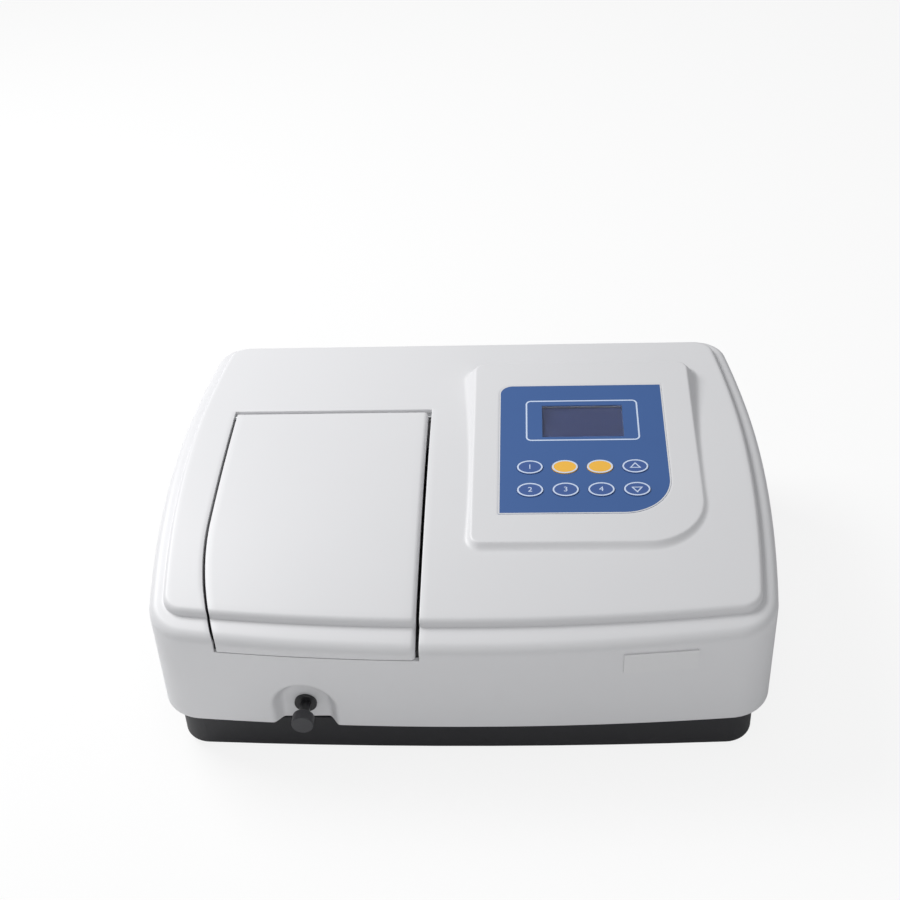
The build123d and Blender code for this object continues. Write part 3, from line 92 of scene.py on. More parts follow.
# Raised plateau
step_height = 6.0
plateau_half_width = 229.5
plateau_front = -156.5
plateau_back = 174.0
plateau_bow_radius = 2000.0
plateau_corner = 17.0
plateau_fillet = 3.6
step_root = 0.6

# Lid
lid_right = -32.0
lid_back = 72.0
lid_back_left = -195.0
lid_left = -197.8
lid_sweep_y = -60.0
lid_front_left = -176.5
lid_sweep_end = -178.0
lid_bottom = 113.0
seam = 1.8
right_seam = 2.6
bottom_seam = 0.35
seam_edge = 0.9
lid_right_edge = 4.0
hinge_roll = 3.5
flange_level = 119.3
opening_lean = 0.2
lid_wall = 2.6
lid_bottom_edge = 0.8
lid_wall_top_y = shoulder_front + 8.0
lid_left_places = np.array([0.0, 0.15, 0.45, seam_edge])
lid_right_places = np.array([lid_right_edge, 3.2, 2.3, 1.5, 0.8, 0.3, 0.0])
lid_across_steps = 30
lid_length_steps = 45

# Console
console_left = 7.0
console_right = 188.0
console_front = -88.0
console_level = 151.0
console_tilt = math.radians(5.5)
console_length = 213.0
console_slope = 9.0 / 7.0
console_corners = np.array([8.0, 46.0, 8.0, 8.0])
console_edge = 1.2
console_root = 3.5
console_flare = 11.5
console_flare_step = 0.75
console_edge_places = (0.3, 0.0, -0.3, -0.6, -1.2, -2.0, -5.0)
console_corner_steps = (8, 16, 8, 8)

# Panel, display and keys, measured up the console's slope
panel_box = (28.0, 164.4, 30.0, 183.5)
panel_corners = np.array([0.6, 38.0, 0.6, 11.0])
panel_recess = 0.6
panel_edge_rings = ((2.0, 0.0), (0.25, 0.0), (0.05, 0.12), (0.0, panel_recess))
film_top = 0.2
window_centre = (96.8, 137.6)
window_size = (66.5, 39.0)
window_corner = 0.4
window_corner_steps = 4
module_depth = 3.3
key_columns = (53.0, 81.0, 109.0, 137.0)
key_rows = (82.0, 56.0)
key_size = (21.0, 15.6)
key_proud = 0.7
key_marks = {
    "key_1": "1",
    "key_yellow_left": "",
    "key_yellow_right": "",
    "key_up": "up",
    "key_2": "2",
    "key_3": "3",
    "key_4": "4",
    "key_down": "down",
}

# Print on film and keys
display_frame = (50.0, 143.0, 113.6, 163.4)
display_frame_corner = 4.5
display_frame_line = 1.3
# Width of the white line round the panel, a painted highlight along its edge
panel_highlight_width = 1.0
least_corner = 0.3
panel_corner_steps = 16
key_ring_insets = (0.5, 3.0)
arrow_reach = 4.3
arrow_stretch = 1.25
arrow_inner_share = 0.62
digit_height = 7.5

# Recess round the rod
recess_x = -120.5
recess_radius = 26.0
recess_level = 57.0
recess_back = -161.0
recess_slope = 9.0
recess_near_x = 40.0
recess_near_level = 95.0
front_wall_y = -140.0
rod_level = 54.0
rod_hole_radius = 6.0
rod_hole_y = -150.0

# Grid of the cover: where its columns and rows lie, and how far apart
front_limit = 197.0
side_low, side_high = -128.0, 155.0
corner_steps = 12
half_corner = corner_steps // 2
hole_x, hole_y = (-8.0, 188.0), (-104.0, 138.0)
fine_reach = 34.0
fine_step, console_step, row_step, front_step = 1.25, 4.5, 5.0, 6.0
seam_edge_places = np.array([0.0, 0.2, 0.5, seam_edge])
fine_wall_top, fine_wall_step, wall_step = 88.0, 1.3, 7.0
shoulder_probe_level = 120.0
band_shares = (0.35, 0.7, 1.0)
ledge_shares = (0.33, 0.67, 1.0)
first_wall_ring, plain_wall_ring, wall_ring_limit = 6, 10, 60
settle_rounds, lid_settle_rounds = 4, 5

# Warp of its columns: where it sets in, and its shares at the ends
hole_reach = 14.0
ease_x = 150.0
ease_y, ease_length = -150.0, 30.0
side_share, limit_share = 0.6, 0.85

# Steps of arcs
bow_steps, bend_steps = 300, 200
quarter = np.radians(np.arange(15.0, 91.0, 15.0))
root_quarter = np.radians([30.0, 60.0, 90.0])
bottom_turns = np.radians([0.0, 45.0, 90.0])
hinge_turns = np.radians(np.arange(18.0, 163.0, 18.0))

# Light trap under the lid, a ring round the chamber's mouth
trap_box = (-176.0, -56.0, -141.0, 54.0)
trap_corner = 10.0
trap_width = 2.5
trap_base = 122.3

# Rear wall
panel_cut = (30.0, 190.0, 52.0, 118.0)
panel_cut_corner = 4.0
vent_centre = (-106.0, 82.0)
vent_slot = (46.0, 3.0)
vent_slots = 8
vent_pitch = 6.0
slot_round_share = 0.99
rear_patches = {"panel": (28.0, 192.0, 49.0, 121.0), "vent": (-137.0, -75.0, 55.0, 109.0)}

# Meshes
sharp_angle = math.radians(35.0)
weld_reach, print_weld_reach = 0.002, 0.0005
collapse_share = 0.25

# Finishes
fine_detail, drift_detail, drift_size = 3.0, 4.0, 60.0
gloss_drift, least_roughness = 0.05, 0.02
glass_index = 1.49

# Studio, in metres
camera_place = (0.054457, -0.93973, 0.88869)
camera_heading, camera_pitch, camera_roll = np.radians([3.968, -37.235, -3.037])
camera_lens, camera_sensor, camera_range = 59.07, 36.0, (0.05, 50.0)
sky_colour = (0.98, 0.99, 1.0, 1)
floor_half_size = 6.0
floor_colour = (0.9, 0.9, 0.9, 1)
floor_glow_share = 0.85
lamp_target = (0.0, 0.0, 0.1)
key_lamp_place, key_lamp_size = (-1.0, 0.55, 1.35), 0.9
fill_lamp_place, fill_lamp_size = (0.3, -1.6, 1.1), 1.4


def finish_mesh(obj, material, body, weld=weld_reach):
    """Welds equal points, marks edges past the sharp angle, gives the finish and the body."""
    mesh = obj.data
    form = bmesh.new()
    form.from_mesh(mesh)
    bmesh.ops.remove_doubles(form, verts=form.verts, dist=weld / METRE)
    bmesh.ops.dissolve_degenerate(form, edges=form.edges, dist=weld / METRE * collapse_share)
    for edge in form.edges:
        if len(edge.link_faces) == 2:
            edge.smooth = edge.calc_face_angle(0.0) < sharp_angle
    form.to_mesh(mesh)
    form.free()
    mesh.polygons.foreach_set("use_smooth", np.ones(len(mesh.polygons), bool))
    mesh.materials.append(material)
    mesh.update()
    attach(obj, body)
    return obj


def place_object(name, data):
    """A new object round this data, linked to the scene."""
    obj = bpy.data.objects.new(name, data)
    bpy.context.scene.collection.objects.link(obj)
    return obj


def surface(name, points, faces, material, body):
    """A piece from arrays of points in millimetres and of faces."""
    mesh = bpy.data.meshes.new(name)
    mesh.from_pydata((points / METRE).tolist(), [], faces.tolist())
    return finish_mesh(place_object(name, mesh), material, body)


def quads(height, width, closed=False, keep=None):
    """Faces of a grid of points, row by row, seen from the side where both run rightwards.

    keep is a mask of cells; closed joins the last column to the first.
    """
    ids = np.arange(height * width).reshape(height, width)
    right = np.roll(ids, -1, axis=1)
    if not closed:
        ids, right = ids[:, :-1], right[:, :-1]
    cells = np.stack([ids[:-1], right[:-1], right[1:], ids[1:]], axis=-1)
    return cells.reshape(-1, 4) if keep is None else cells[keep]


def directions(angles):
    """Unit vectors at these angles: cosine and sine."""
    return np.stack([np.cos(angles), np.sin(angles)], axis=1)


def circle_through(a, b, c):
    """Centre and radius of the circle through three points: where two bisectors cross."""
    a, b, c = (np.array(p, float) for p in (a, b, c))
    lines = 2 * np.array([b - a, c - a])
    centre = np.linalg.solve(lines, [b @ b - a @ a, c @ c - a @ a])
    return centre, float(np.linalg.norm(a - centre))


def arc(centre, radius, start, end, steps):
    """Points on a circle from one direction to another, the short way round."""
    first = math.atan2(*(np.array(start) - centre)[::-1])
    sweep = math.atan2(*(np.array(end) - centre)[::-1]) - first
    sweep = (sweep + math.pi) % (2 * math.pi) - math.pi
    angles = first + sweep * np.linspace(0, 1, steps)
    return centre + radius * directions(angles)


class Outline:
    """The right half of a bowed plan outline, front middle to back middle, with its lengths.

    Front and side are circle arcs through three points each. A corner is an arc whose centre
    lies one corner radius inside both of its neighbours.
    """

    def __init__(self, half, front, back, bow_radius, corner, rear_corner):
        front_x = half - (front - side_bow_y) ** 2 / (2 * side_bow_radius)
        corner_y = front + front_x**2 / (2 * bow_radius)
        corner_x = half - (corner_y - side_bow_y) ** 2 / (2 * side_bow_radius)
        back_x = half - (back - side_bow_y) ** 2 / (2 * side_bow_radius)
        front_c, front_r = circle_through((-corner_x, corner_y), (0, front), (corner_x, corner_y))
        side_c, side_r = circle_through((corner_x, corner_y), (half, side_bow_y), (back_x, back))
        between = side_c - front_c
        distance = np.linalg.norm(between)
        a, b = front_r - corner, side_r - corner
        along = (a * a - b * b + distance**2) / (2 * distance)
        aside = math.sqrt(a * a - along**2)
        unit = between / distance
        across = aside * np.array([-unit[1], unit[0]])
        crossings = [front_c + along * unit + side * across for side in (1, -1)]
        corner_c = max(crossings, key=lambda p: p[0] - p[1])
        front_end = front_c + (corner_c - front_c) * front_r / a
        side_start = side_c + (corner_c - side_c) * side_r / b
        rear_y = back - rear_corner
        rear_x = side_c[0] + math.sqrt((side_r - rear_corner) ** 2 - (rear_y - side_c[1]) ** 2)
        rear_c = np.array([rear_x, rear_y])
        side_end = side_c + (rear_c - side_c) * side_r / (side_r - rear_corner)
        parts = [
            arc(front_c, front_r, (0, front), front_end, bow_steps),
            arc(corner_c, corner, front_end, side_start, bend_steps),
            arc(side_c, side_r, side_start, side_end, bow_steps),
            arc(rear_c, rear_corner, side_end, (rear_x, back), bend_steps),
            np.array([[0.0, back]]),
        ]
        points = np.concatenate([parts[0]] + [p[1:] for p in parts[1:4]] + [parts[4]])
        self.x, self.y = points.T
        steps = np.hypot(np.diff(self.x), np.diff(self.y))
        self.length = np.concatenate([[0.0], np.cumsum(steps)])
        self.widest = int(np.argmax(self.x))

    def front_y(self, x):
        """Where the front lies at a place across, the same on both sides."""
        return np.interp(np.abs(x), self.x[: self.widest], self.y[: self.widest])

    def side_x(self, y):
        """How far out the side lies at a place along."""
        return np.interp(y, self.y, self.x)

    def stretch(self, start, end, steps):
        """Points between two lengths along the outline, without its two ends."""
        at = np.linspace(start, end, steps + 1)[1:-1]
        return np.stack([np.interp(at, self.length, side) for side in (self.x, self.y)], axis=1)

    def front_corner(self):
        """Points round the front corner, from the last column to the first row."""
        start = np.interp(front_limit, self.x[: self.widest], self.length[: self.widest])
        return self.stretch(start, np.interp(side_low, self.y, self.length), corner_steps)

    def rear_corner(self):
        """Points round the rear corner, from the last row to the last column."""
        rear_x = self.x[self.widest :][::-1]
        end = np.interp(front_limit, rear_x, self.length[self.widest :][::-1])
        return self.stretch(np.interp(side_high, self.y, self.length), end, corner_steps)


def case_outline(height):
    """The case's outline at a height. Its front leans out from the rim to the shoulder."""
    lean = (height - rim_level) / (shoulder_level - rim_level)
    front = rim_front + lean * (shoulder_front - rim_front)
    bow = 1 / rim_bow_radius + lean * (1 / shoulder_bow_radius - 1 / rim_bow_radius)
    return Outline(case_half_width, front, case_back, 1 / bow, front_corner, back_corner)


def plateau_outline():
    """The raised plateau's outline, its four corners alike."""
    corners = (plateau_corner, plateau_corner)
    return Outline(plateau_half_width, plateau_front, plateau_back, plateau_bow_radius, *corners)


def top_height(y):
    """The plateau's height: flat at the back, then down a circle of the nose radius."""
    reach = np.maximum(crest_y - y, 0.0)
    return top_level - nose_radius + np.sqrt(nose_radius**2 - reach**2)


def ledge_height(y):
    """The ledge's height, one step below the plateau's."""
    return top_height(y) - step_height


def lid_left_edge(y, grow=0.0):
    """The lid's left edge: straight, then the circle that leaves it smoothly to the front."""
    start = np.array([lid_left, lid_sweep_y])
    straight_run = start - np.array([lid_back_left, lid_back])
    along = straight_run / np.linalg.norm(straight_run)
    normal = np.array([-along[1], along[0]])
    gap = start - np.array([lid_front_left, lid_sweep_end])
    radius = -(gap @ gap) / (2 * normal @ gap)
    centre = start + radius * normal
    y = np.asarray(y, float)
    straight = lid_left + (y - lid_sweep_y) * along[0] / along[1] - grow
    reach = np.clip(y, lid_sweep_end, centre[1]) - centre[1]
    swept = centre[0] - np.sqrt((radius + grow) ** 2 - reach**2)
    return np.where(y > lid_sweep_y, straight, swept)


def spaced(start, end, step):
    """Even places from start to end, about one step apart."""
    return np.linspace(start, end, max(int(round((end - start) / step)), 1) + 1)


seam_base = float(lid_left_edge(lid_sweep_end, seam))
right_seam_x = lid_right + right_seam
back_seam_y = lid_back + seam
seam_level = lid_bottom - bottom_seam


def smooth_step(t):
    """0 below 0, 1 above 1, and three squares less two cubes between."""
    t = np.clip(t, 0.0, 1.0)
    return t * t * (3 - 2 * t)


def column_places():
    """Column places across the front: fine at the recess and beside the lid's seams."""
    left_edge = seam_base - seam_edge_places[::-1]
    right_edge = right_seam_x + seam_edge_places
    recess = spaced(recess_x - fine_reach, recess_x + fine_reach, fine_step)
    return np.concatenate([
        spaced(-front_limit, left_edge[0], front_step)[:-1],
        left_edge,
        spaced(seam_base, recess[0], row_step)[1:-1],
        recess,
        spaced(recess[-1], right_seam_x, front_step)[1:-1],
        right_edge,
        spaced(right_edge[-1], hole_x[0], row_step)[1:-1],
        spaced(hole_x[0], hole_x[1], console_step),
        np.array([front_limit]),
    ])


def row_places():
    """Row places up the side, with rows at the lid's back seam and the console's surround."""
    back_edge = back_seam_y + seam_edge_places
    return np.concatenate([
        spaced(side_low, hole_y[0], row_step)[:-1],
        spaced(hole_y[0], back_seam_y, console_step)[:-1],
        back_edge,
        spaced(back_edge[-1], hole_y[1], row_step)[1:],
        spaced(hole_y[1], side_high, row_step)[1:],
    ])


columns, rows = column_places(), row_places()


def warp(x, y):
    """Moves columns sideways so that one follows the lid's left seam all the way.

    The shift is that of the seam at this y. Rightwards it fades to nothing at the recess,
    leftwards to its side share at the last column. Beside the console on the right, columns
    move out by the hole's reach. Side share and reach set in along y by a smooth step.
    """
    x, y = np.broadcast_arrays(np.asarray(x, float), np.asarray(y, float))
    shift = lid_left_edge(np.minimum(y, back_seam_y), seam) - seam_base
    ease = smooth_step((y - ease_y) / ease_length)
    fine_left = recess_x - fine_reach
    inside = np.clip((fine_left - x) / (fine_left - seam_base), 0.0, 1.0)
    outside = np.clip((x - seam_base) / (-front_limit - seam_base), 0.0, 1.0)
    left = shift * np.where(x > seam_base, inside, 1 - outside * (1 - side_share * ease))
    right = np.interp(x, [ease_x, hole_x[1], front_limit], [0.0, 1.0, limit_share]) * hole_reach * ease
    return x + np.where(x < recess_x, left, right)


def sample(outline):
    """A closed plan ring: front at the columns, corners by even length, sides at the rows.

    The left side mirrors the right one.
    """
    x = warp(columns, outline.front_y(columns))
    front = np.stack([x, outline.front_y(x)], axis=1)
    right = np.stack([outline.side_x(rows), rows], axis=1)
    back = np.stack([columns, np.full(len(columns), outline.y[-1])], axis=1)
    front_corner, rear_corner = outline.front_corner(), outline.rear_corner()
    left = np.concatenate([front_corner, right, rear_corner])[::-1] * (-1.0, 1.0)
    return np.concatenate([front, front_corner, right, rear_corner, back[::-1], left])


def inward(ring):
    """Unit normals of a closed plan ring, pointing inside."""
    along = np.roll(ring, -1, axis=0) - np.roll(ring, 1, axis=0)
    along /= np.linalg.norm(along, axis=1)[:, None]
    return np.stack([-along[:, 1], along[:, 0]], axis=1)


def recess_push(x, z):
    """How far the scoop has sunk at a place of the front wall, from 0 at its rim to 1.

    Its rim is an arch. The slope inside it is a smooth step over the recess's slope width.
    """
    above = np.maximum(z - recess_level, 0.0)
    inside = recess_radius - np.hypot(x - recess_x, above)
    return smooth_step(inside / recess_slope)


def cover_rings():
    """The cover's rings from inside the rim up to the plateau's edge.

    Returns points by ring, and for each ring how far its inward side turns down from the
    plan normal. The wall is ruled between two outlines. The shoulder, the step's root and
    its top edge are quarter circles that ride on the height of the top at their own y.
    """
    low, high = sample(case_outline(rim_level)), sample(case_outline(top_level))

    def at(z):
        """The wall's plan at a height, or at one height for each point."""
        share = (np.asarray(z) - rim_level) / (top_level - rim_level)
        return low + np.broadcast_to(share, len(low))[:, None] * (high - low)

    rings, turns = [], []

    def put(plan, z, turn):
        """Adds a ring with this plan, height and downward turn."""
        rings.append(np.column_stack([plan, np.broadcast_to(z, len(plan))]))
        turns.append(turn)

    into = inward(low)
    put(low + wall * into, rim_level + rim_lip, 0.0)
    put(low + wall * into, rim_level + rim_hem, 0.0)
    put(low + (wall - rim_hem) * into, rim_level, 0.0)
    for inset, rise, _ in fillet(rim_edge, root_quarter[::-1]):
        put(at(rim_level + rim_edge) + inset * into, rim_level + rise, 0.0)
    for z in np.concatenate([
        spaced(rim_level + rim_edge, fine_wall_top, fine_wall_step),
        spaced(fine_wall_top, seam_level, wall_step)[1:],
    ]):
        put(at(z), z, 0.0)
    wall_top = ledge_height(at(shoulder_probe_level)[:, 1]) - shoulder_fillet
    for share in band_shares:
        z = seam_level + share * (wall_top - seam_level)
        put(at(z), z, 0.0)
    edge = at(wall_top)
    into = inward(edge)
    for inset, fall, turn in fillet(shoulder_fillet, quarter):
        plan = edge + inset * into
        put(plan, ledge_height(plan[:, 1]) - fall, turn)
    inner = rings[-1][:, :2]
    step = sample(plateau_outline())
    into = inward(step)
    foot = step - step_root * into
    for share in ledge_shares:
        plan = inner + share * (foot - inner)
        put(plan, ledge_height(plan[:, 1]), math.pi / 2)
    for rise, back, turn in fillet(step_root, root_quarter):
        plan = step - back * into
        put(plan, ledge_height(plan[:, 1]) + rise, math.pi / 2 - turn)
    for inset, fall, turn in fillet(plateau_fillet, quarter):
        plan = step + inset * into
        put(plan, top_height(plan[:, 1]) - fall, turn)
    return np.array(rings), np.array(turns)


def sink_recess(points):
    """Pushes the front wall back into the scoop, keeping the wall behind it as thick."""
    x, y, z = points[..., 0], points[..., 1], points[..., 2]
    outline = case_outline(rim_level)
    lean = (shoulder_front - rim_front) * (z - rim_level) / (shoulder_level - rim_level)
    skin = outline.front_y(x) + lean
    target = recess_back + (y - skin)
    here = (np.abs(x - recess_x) < recess_near_x) & (z < recess_near_level) & (y < front_wall_y)
    return np.where(here, y + recess_push(x, z) * (target - y), y)


def fillet(radius, turns):
    """Along a quarter circle: radius less its cosine part, radius less its sine part, turn."""
    return [(radius * (1 - math.cos(turn)), radius * (1 - math.sin(turn)), turn) for turn in turns]


def rounded_edge(distance, radius):
    """How far a surface drops beside an edge that is rounded to this radius."""
    inside = np.clip(radius - distance, 0.0, radius)
    return radius - np.sqrt(radius**2 - inside**2)


def plateau_grid(last):
    """Grid of the plateau's plan, its border the last ring, its middle block at even rows.

    Each side is done in a view turned so that this side comes first. Rows between border and
    block run straight between the two. The corner blocks are Coons patches, which blend
    their four sides.
    """
    h = half_corner
    block = np.stack(np.broadcast_arrays(warp(columns[None, :], rows[:, None]), rows[:, None]), axis=-1)
    grid = np.zeros((len(rows) + corner_steps, len(columns) + corner_steps, 2))
    grid[h:-h, h:-h] = block
    start = -h
    for side in range(4):
        turned, inner = np.rot90(grid, side), np.rot90(block, side)
        turned[0] = last[np.arange(start, start + turned.shape[1]) % len(last), :2]
        start += turned.shape[1] - 1
        for i in range(1, h):
            turned[i, h:-h] = turned[0, h:-h] * (1 - i / h) + inner[0] * (i / h)
    u = np.linspace(0, 1, h + 1)[None, :, None]
    v = u.swapaxes(0, 1)
    for side in range(4):
        patch = np.rot90(grid, side)[: h + 1, : h + 1]
        corners = (
            (1 - u) * (1 - v) * patch[0, 0]
            + u * (1 - v) * patch[0, -1]
            + (1 - u) * v * patch[-1, 0]
            + u * v * patch[-1, -1]
        )
        sides = (1 - v) * patch[:1] + v * patch[-1:] + (1 - u) * patch[:, :1] + u * patch[:, -1:]
        patch[...] = sides - corners
    return grid


def console_plane(y):
    """Height of the console's sloping face at a place in plan."""
    return console_level + (y - console_front) * math.tan(console_tilt)


def console_skin(y, outside):
    """Height of top and console together at a distance outside the console's outline.

    The face turns into its flared wall over a short parabola, and the wall meets the top
    in a smooth maximum that reaches as far as the root's width.
    """
    soft = (outside + console_edge) ** 2 / (4 * console_edge)
    fall = np.where(outside > console_edge, outside, np.where(outside > -console_edge, soft, 0.0))
    face = console_plane(y) - console_slope * fall
    top = top_height(y)
    blend = np.maximum(1 - np.abs(face - top) / console_root, 0.0)
    return np.maximum(face, top) + console_root / 4 * blend**2


def grown(box, by):
    """A box moved outward by this much on all four sides."""
    x0, x1, y0, y1 = box
    return x0 - by, x1 + by, y0 - by, y1 + by


def box_around(centre, size):
    """The box of this size round a centre."""
    (x, y), (half_x, half_y) = centre, (size[0] / 2, size[1] / 2)
    return x - half_x, x + half_x, y - half_y, y + half_y


def corner_arcs(box, radii, steps):
    """The four quarter circles of a rounded box, anticlockwise from the front left one."""
    x0, x1, y0, y1 = box
    corners = [(x0, y0, 1, 1), (x1, y0, -1, 1), (x1, y1, -1, -1), (x0, y1, 1, -1)]
    radii, steps = np.broadcast_to(radii, 4), np.broadcast_to(steps, 4)
    arcs = []
    for i, ((x, y, sx, sy), radius) in enumerate(zip(corners, radii)):
        angles = math.radians(180 + 90 * i) + np.linspace(0, math.pi / 2, steps[i] + 1)
        centre = np.array([x + sx * radius, y + sy * radius])
        arcs.append(centre + radius * directions(angles))
    return arcs


def rounded_box(box, radii, steps=8):
    """A closed loop round a box, its corners quarter circles of one radius or of four."""
    return np.concatenate(corner_arcs(box, radii, steps))


def box_loop(box, radii, counts, steps):
    """A rounded box as a closed loop that starts at the middle of its front left corner.

    counts are the segments of front and side edges; each corner takes its steps from them,
    half from either side.
    """
    turns, steps = corner_arcs(box, radii, steps), np.broadcast_to(steps, 4)
    loop = [turns[0][steps[0] // 2 :]]
    for i in range(4):
        after = (i + 1) % 4
        straight = counts[i % 2] - steps[i] // 2 - steps[after] // 2
        share = np.linspace(0, 1, straight + 1)[1:-1, None]
        loop.append(turns[i][-1] + share * (turns[after][0] - turns[i][-1]))
        loop.append(turns[after] if after else turns[0][: steps[0] // 2])
    return np.concatenate(loop)


def console_rings(grid, hole):
    """Rings from the surround's hole, over flare and edge, to the panel and the display's well."""
    (c0, c1), (r0, r1) = hole
    border = np.concatenate([
        grid[r0, c0:c1],
        grid[r0:r1, c1],
        grid[r1, c1:c0:-1],
        grid[r1:r0:-1, c0],
    ])
    counts, steps = (c1 - c0, r1 - r0), console_corner_steps
    back = console_front + console_length * math.cos(console_tilt)
    flare = spaced(0, console_flare, console_flare_step)[::-1] + console_edge / 2
    rings = [np.column_stack([border, top_height(border[:, 1])])]
    for outside in (*flare, *console_edge_places):
        box = grown((console_left, console_right, console_front, back), outside)
        loop = box_loop(box, console_corners + outside, counts, steps)
        rings.append(np.column_stack([loop, console_skin(loop[:, 1], outside)]))
    for grow, drop in panel_edge_rings:
        loop = box_loop(grown(panel_box, grow), panel_corners + grow, counts, steps)
        rings.append(on_console(*loop.T, -drop))
    loop = box_loop(box_around(window_centre, window_size), window_corner, counts, window_corner_steps)
    for drop in (panel_recess, module_depth):
        rings.append(on_console(*loop.T, -drop))
    return np.array(rings)


def on_console(x, up, out=0.0):
    """Points over the console's face from places across it, up its slope and out of it."""
    x, up, out = np.broadcast_arrays(np.asarray(x, float), up, out)
    cos, sin = math.cos(console_tilt), math.sin(console_tilt)
    y = console_front + up * cos - out * sin
    return np.stack([x, y, console_level + up * sin + out * cos], axis=-1)


def nearest(values, target):
    """The number of the value that lies nearest to a target."""
    return int(np.argmin(np.abs(np.asarray(values) - target)))


def seam_gap(x):
    """How far a column lies outside the lid's two side seams, 0 between them."""
    return np.maximum(np.maximum(seam_base - x, x - right_seam_x), 0.0)


def follow_columns(ring):
    """Slides the front's points along their ring until each lies on its warped column."""
    x, y, z = ring[: len(columns)].T.copy()
    settled = y
    for _ in range(settle_rounds):
        across = warp(columns, settled)
        settled = np.interp(across, x, y)
    ring[: len(columns)] = np.column_stack([across, settled, np.interp(across, x, z)])


def shape_wall(rings, turns, marks, holes):
    """Rounds the wall's edges beside the lid, sinks the scoop and gives the faces that stay.

    marks are the two columns, the row and the ring that border the lid's opening. An edge
    falls away along its ring's turn: inward on the wall, downward on the top.
    """
    left, right, _, seam_ring = marks
    into = inward(rings[plain_wall_ring][:, :2])[: len(columns)]
    drop = rounded_edge(seam_gap(columns), seam_edge)
    for ring, turn in zip(rings[seam_ring + 1 :], turns[seam_ring + 1 :]):
        ring[: len(columns), :2] += (drop * math.cos(turn))[:, None] * into
        ring[: len(columns), 2] -= drop * math.sin(turn)
    rings[..., 1] = sink_recess(rings)
    x, y, z = np.moveaxis(rings[:-1], -1, 0)
    keep = ~((np.hypot(x - recess_x, z - rod_level) < rod_hole_radius) & (y < rod_hole_y))
    keep[seam_ring:, left:right] = False
    for (r0, r1), (c0, c1), _ in holes:
        keep[r0:r1, c0:c1] = False
    return quads(*rings.shape[:2], closed=True, keep=keep)


def shape_top(grid, marks):
    """The plateau's points with rounded seams, its faces that stay, and the console's hole.

    The hole is given as the numbers of its columns and of its rows.
    """
    left, right, back, _ = marks
    h = half_corner
    x = np.concatenate([np.full(h, -front_limit), columns, np.full(h, front_limit)])
    gap = np.hypot(seam_gap(x)[None, :], np.maximum(grid[..., 1] - back_seam_y, 0.0))
    heights = top_height(grid[..., 1]) - rounded_edge(gap, seam_edge)
    keep = np.ones((grid.shape[0] - 1, grid.shape[1] - 1), bool)
    keep[: h + back, h + left : h + right] = False
    c0, c1 = (h + nearest(columns, end) for end in hole_x)
    r0, r1 = (h + nearest(rows, end) for end in hole_y)
    keep[r0:r1, c0:c1] = False
    return np.dstack([grid, heights]), quads(*grid.shape[:2], keep=keep), ((c0, c1), (r0, r1))


def opening_flange(rings, top, marks):
    """The flange round the lid's opening, from its border down to one level.

    The border runs up the left seam, along the back and down the right seam. At the front
    the flange stands behind the wall and leans back with it.
    """
    left, right, back, seam_ring = marks
    top_left, top_right, top_back = (half_corner + n for n in (left, right, back))
    border = np.concatenate([
        rings[seam_ring:-1, left],
        top[:top_back, top_left],
        top[top_back, top_left:top_right],
        top[top_back:0:-1, top_right],
        rings[-1:seam_ring:-1, right],
        rings[seam_ring, right:left:-1],
    ])
    behind = rings[seam_ring, left, 1] + wall + opening_lean * (border[:, 1] - shoulder_front)
    lower = border.copy()
    lower[:, 1] = np.maximum(border[:, 1], behind)
    lower[:, 2] = np.minimum(border[:, 2], flange_level)
    return np.stack([border, lower])


def join_sheets(sheets):
    """One array of points and one of faces, from sheets that each number their own points."""
    points, faces, start = [], [], 0
    for sheet, own_faces in sheets:
        points.append(sheet.reshape(-1, 3))
        faces.append(own_faces + start)
        start += len(points[-1])
    return np.concatenate(points), np.concatenate(faces)


def make_cover(material):
    """The moulded cover: wall, plateau, console and the flange of the lid's opening."""
    rings, turns = cover_rings()
    for ring in rings:
        follow_columns(ring)
    grid = plateau_grid(rings[-1])
    seam_ring = nearest(rings[:wall_ring_limit, 0, 2], seam_level)
    sides = (nearest(columns, seam_base), nearest(columns, right_seam_x))
    marks = (*sides, nearest(rows, back_seam_y), seam_ring)
    holes = rear_holes(rings)
    wall_faces = shape_wall(rings, turns, marks, holes)
    top, top_faces, hole = shape_top(grid, marks)
    console = console_rings(grid, hole)
    flange = opening_flange(rings, top, marks)
    points, faces = join_sheets([
        (rings, wall_faces),
        (top, top_faces),
        (console, quads(*console.shape[:2], closed=True)),
        (flange, quads(*flange.shape[:2], closed=True)[:, ::-1]),
    ])
    cover = surface("moulded_cover", points, faces, material, "chassis")
    fill_rear_wall(holes, rings, material)
    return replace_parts(cover, "top_cover")


def rear_holes(rings):
    """Cells of the back wall that flat inserts take over, for the rear panel and the vent."""
    start = len(columns) + 2 * (corner_steps - 1) + len(rows)
    x = rings[plain_wall_ring, start : start + len(columns), 0]
    numbers = np.arange(first_wall_ring, wall_ring_limit)
    z = rings[numbers, start, 2]
    found = []
    for name, (x0, x1, z0, z1) in rear_patches.items():
        c0, c1 = np.nonzero(x >= x1)[0].max(), np.nonzero(x <= x0)[0].min()
        r0, r1 = numbers[(z <= z0) & (z > rim_level)].max(), numbers[z >= z1].min()
        found.append(((r0, r1), (start + c0, start + c1), name))
    return found


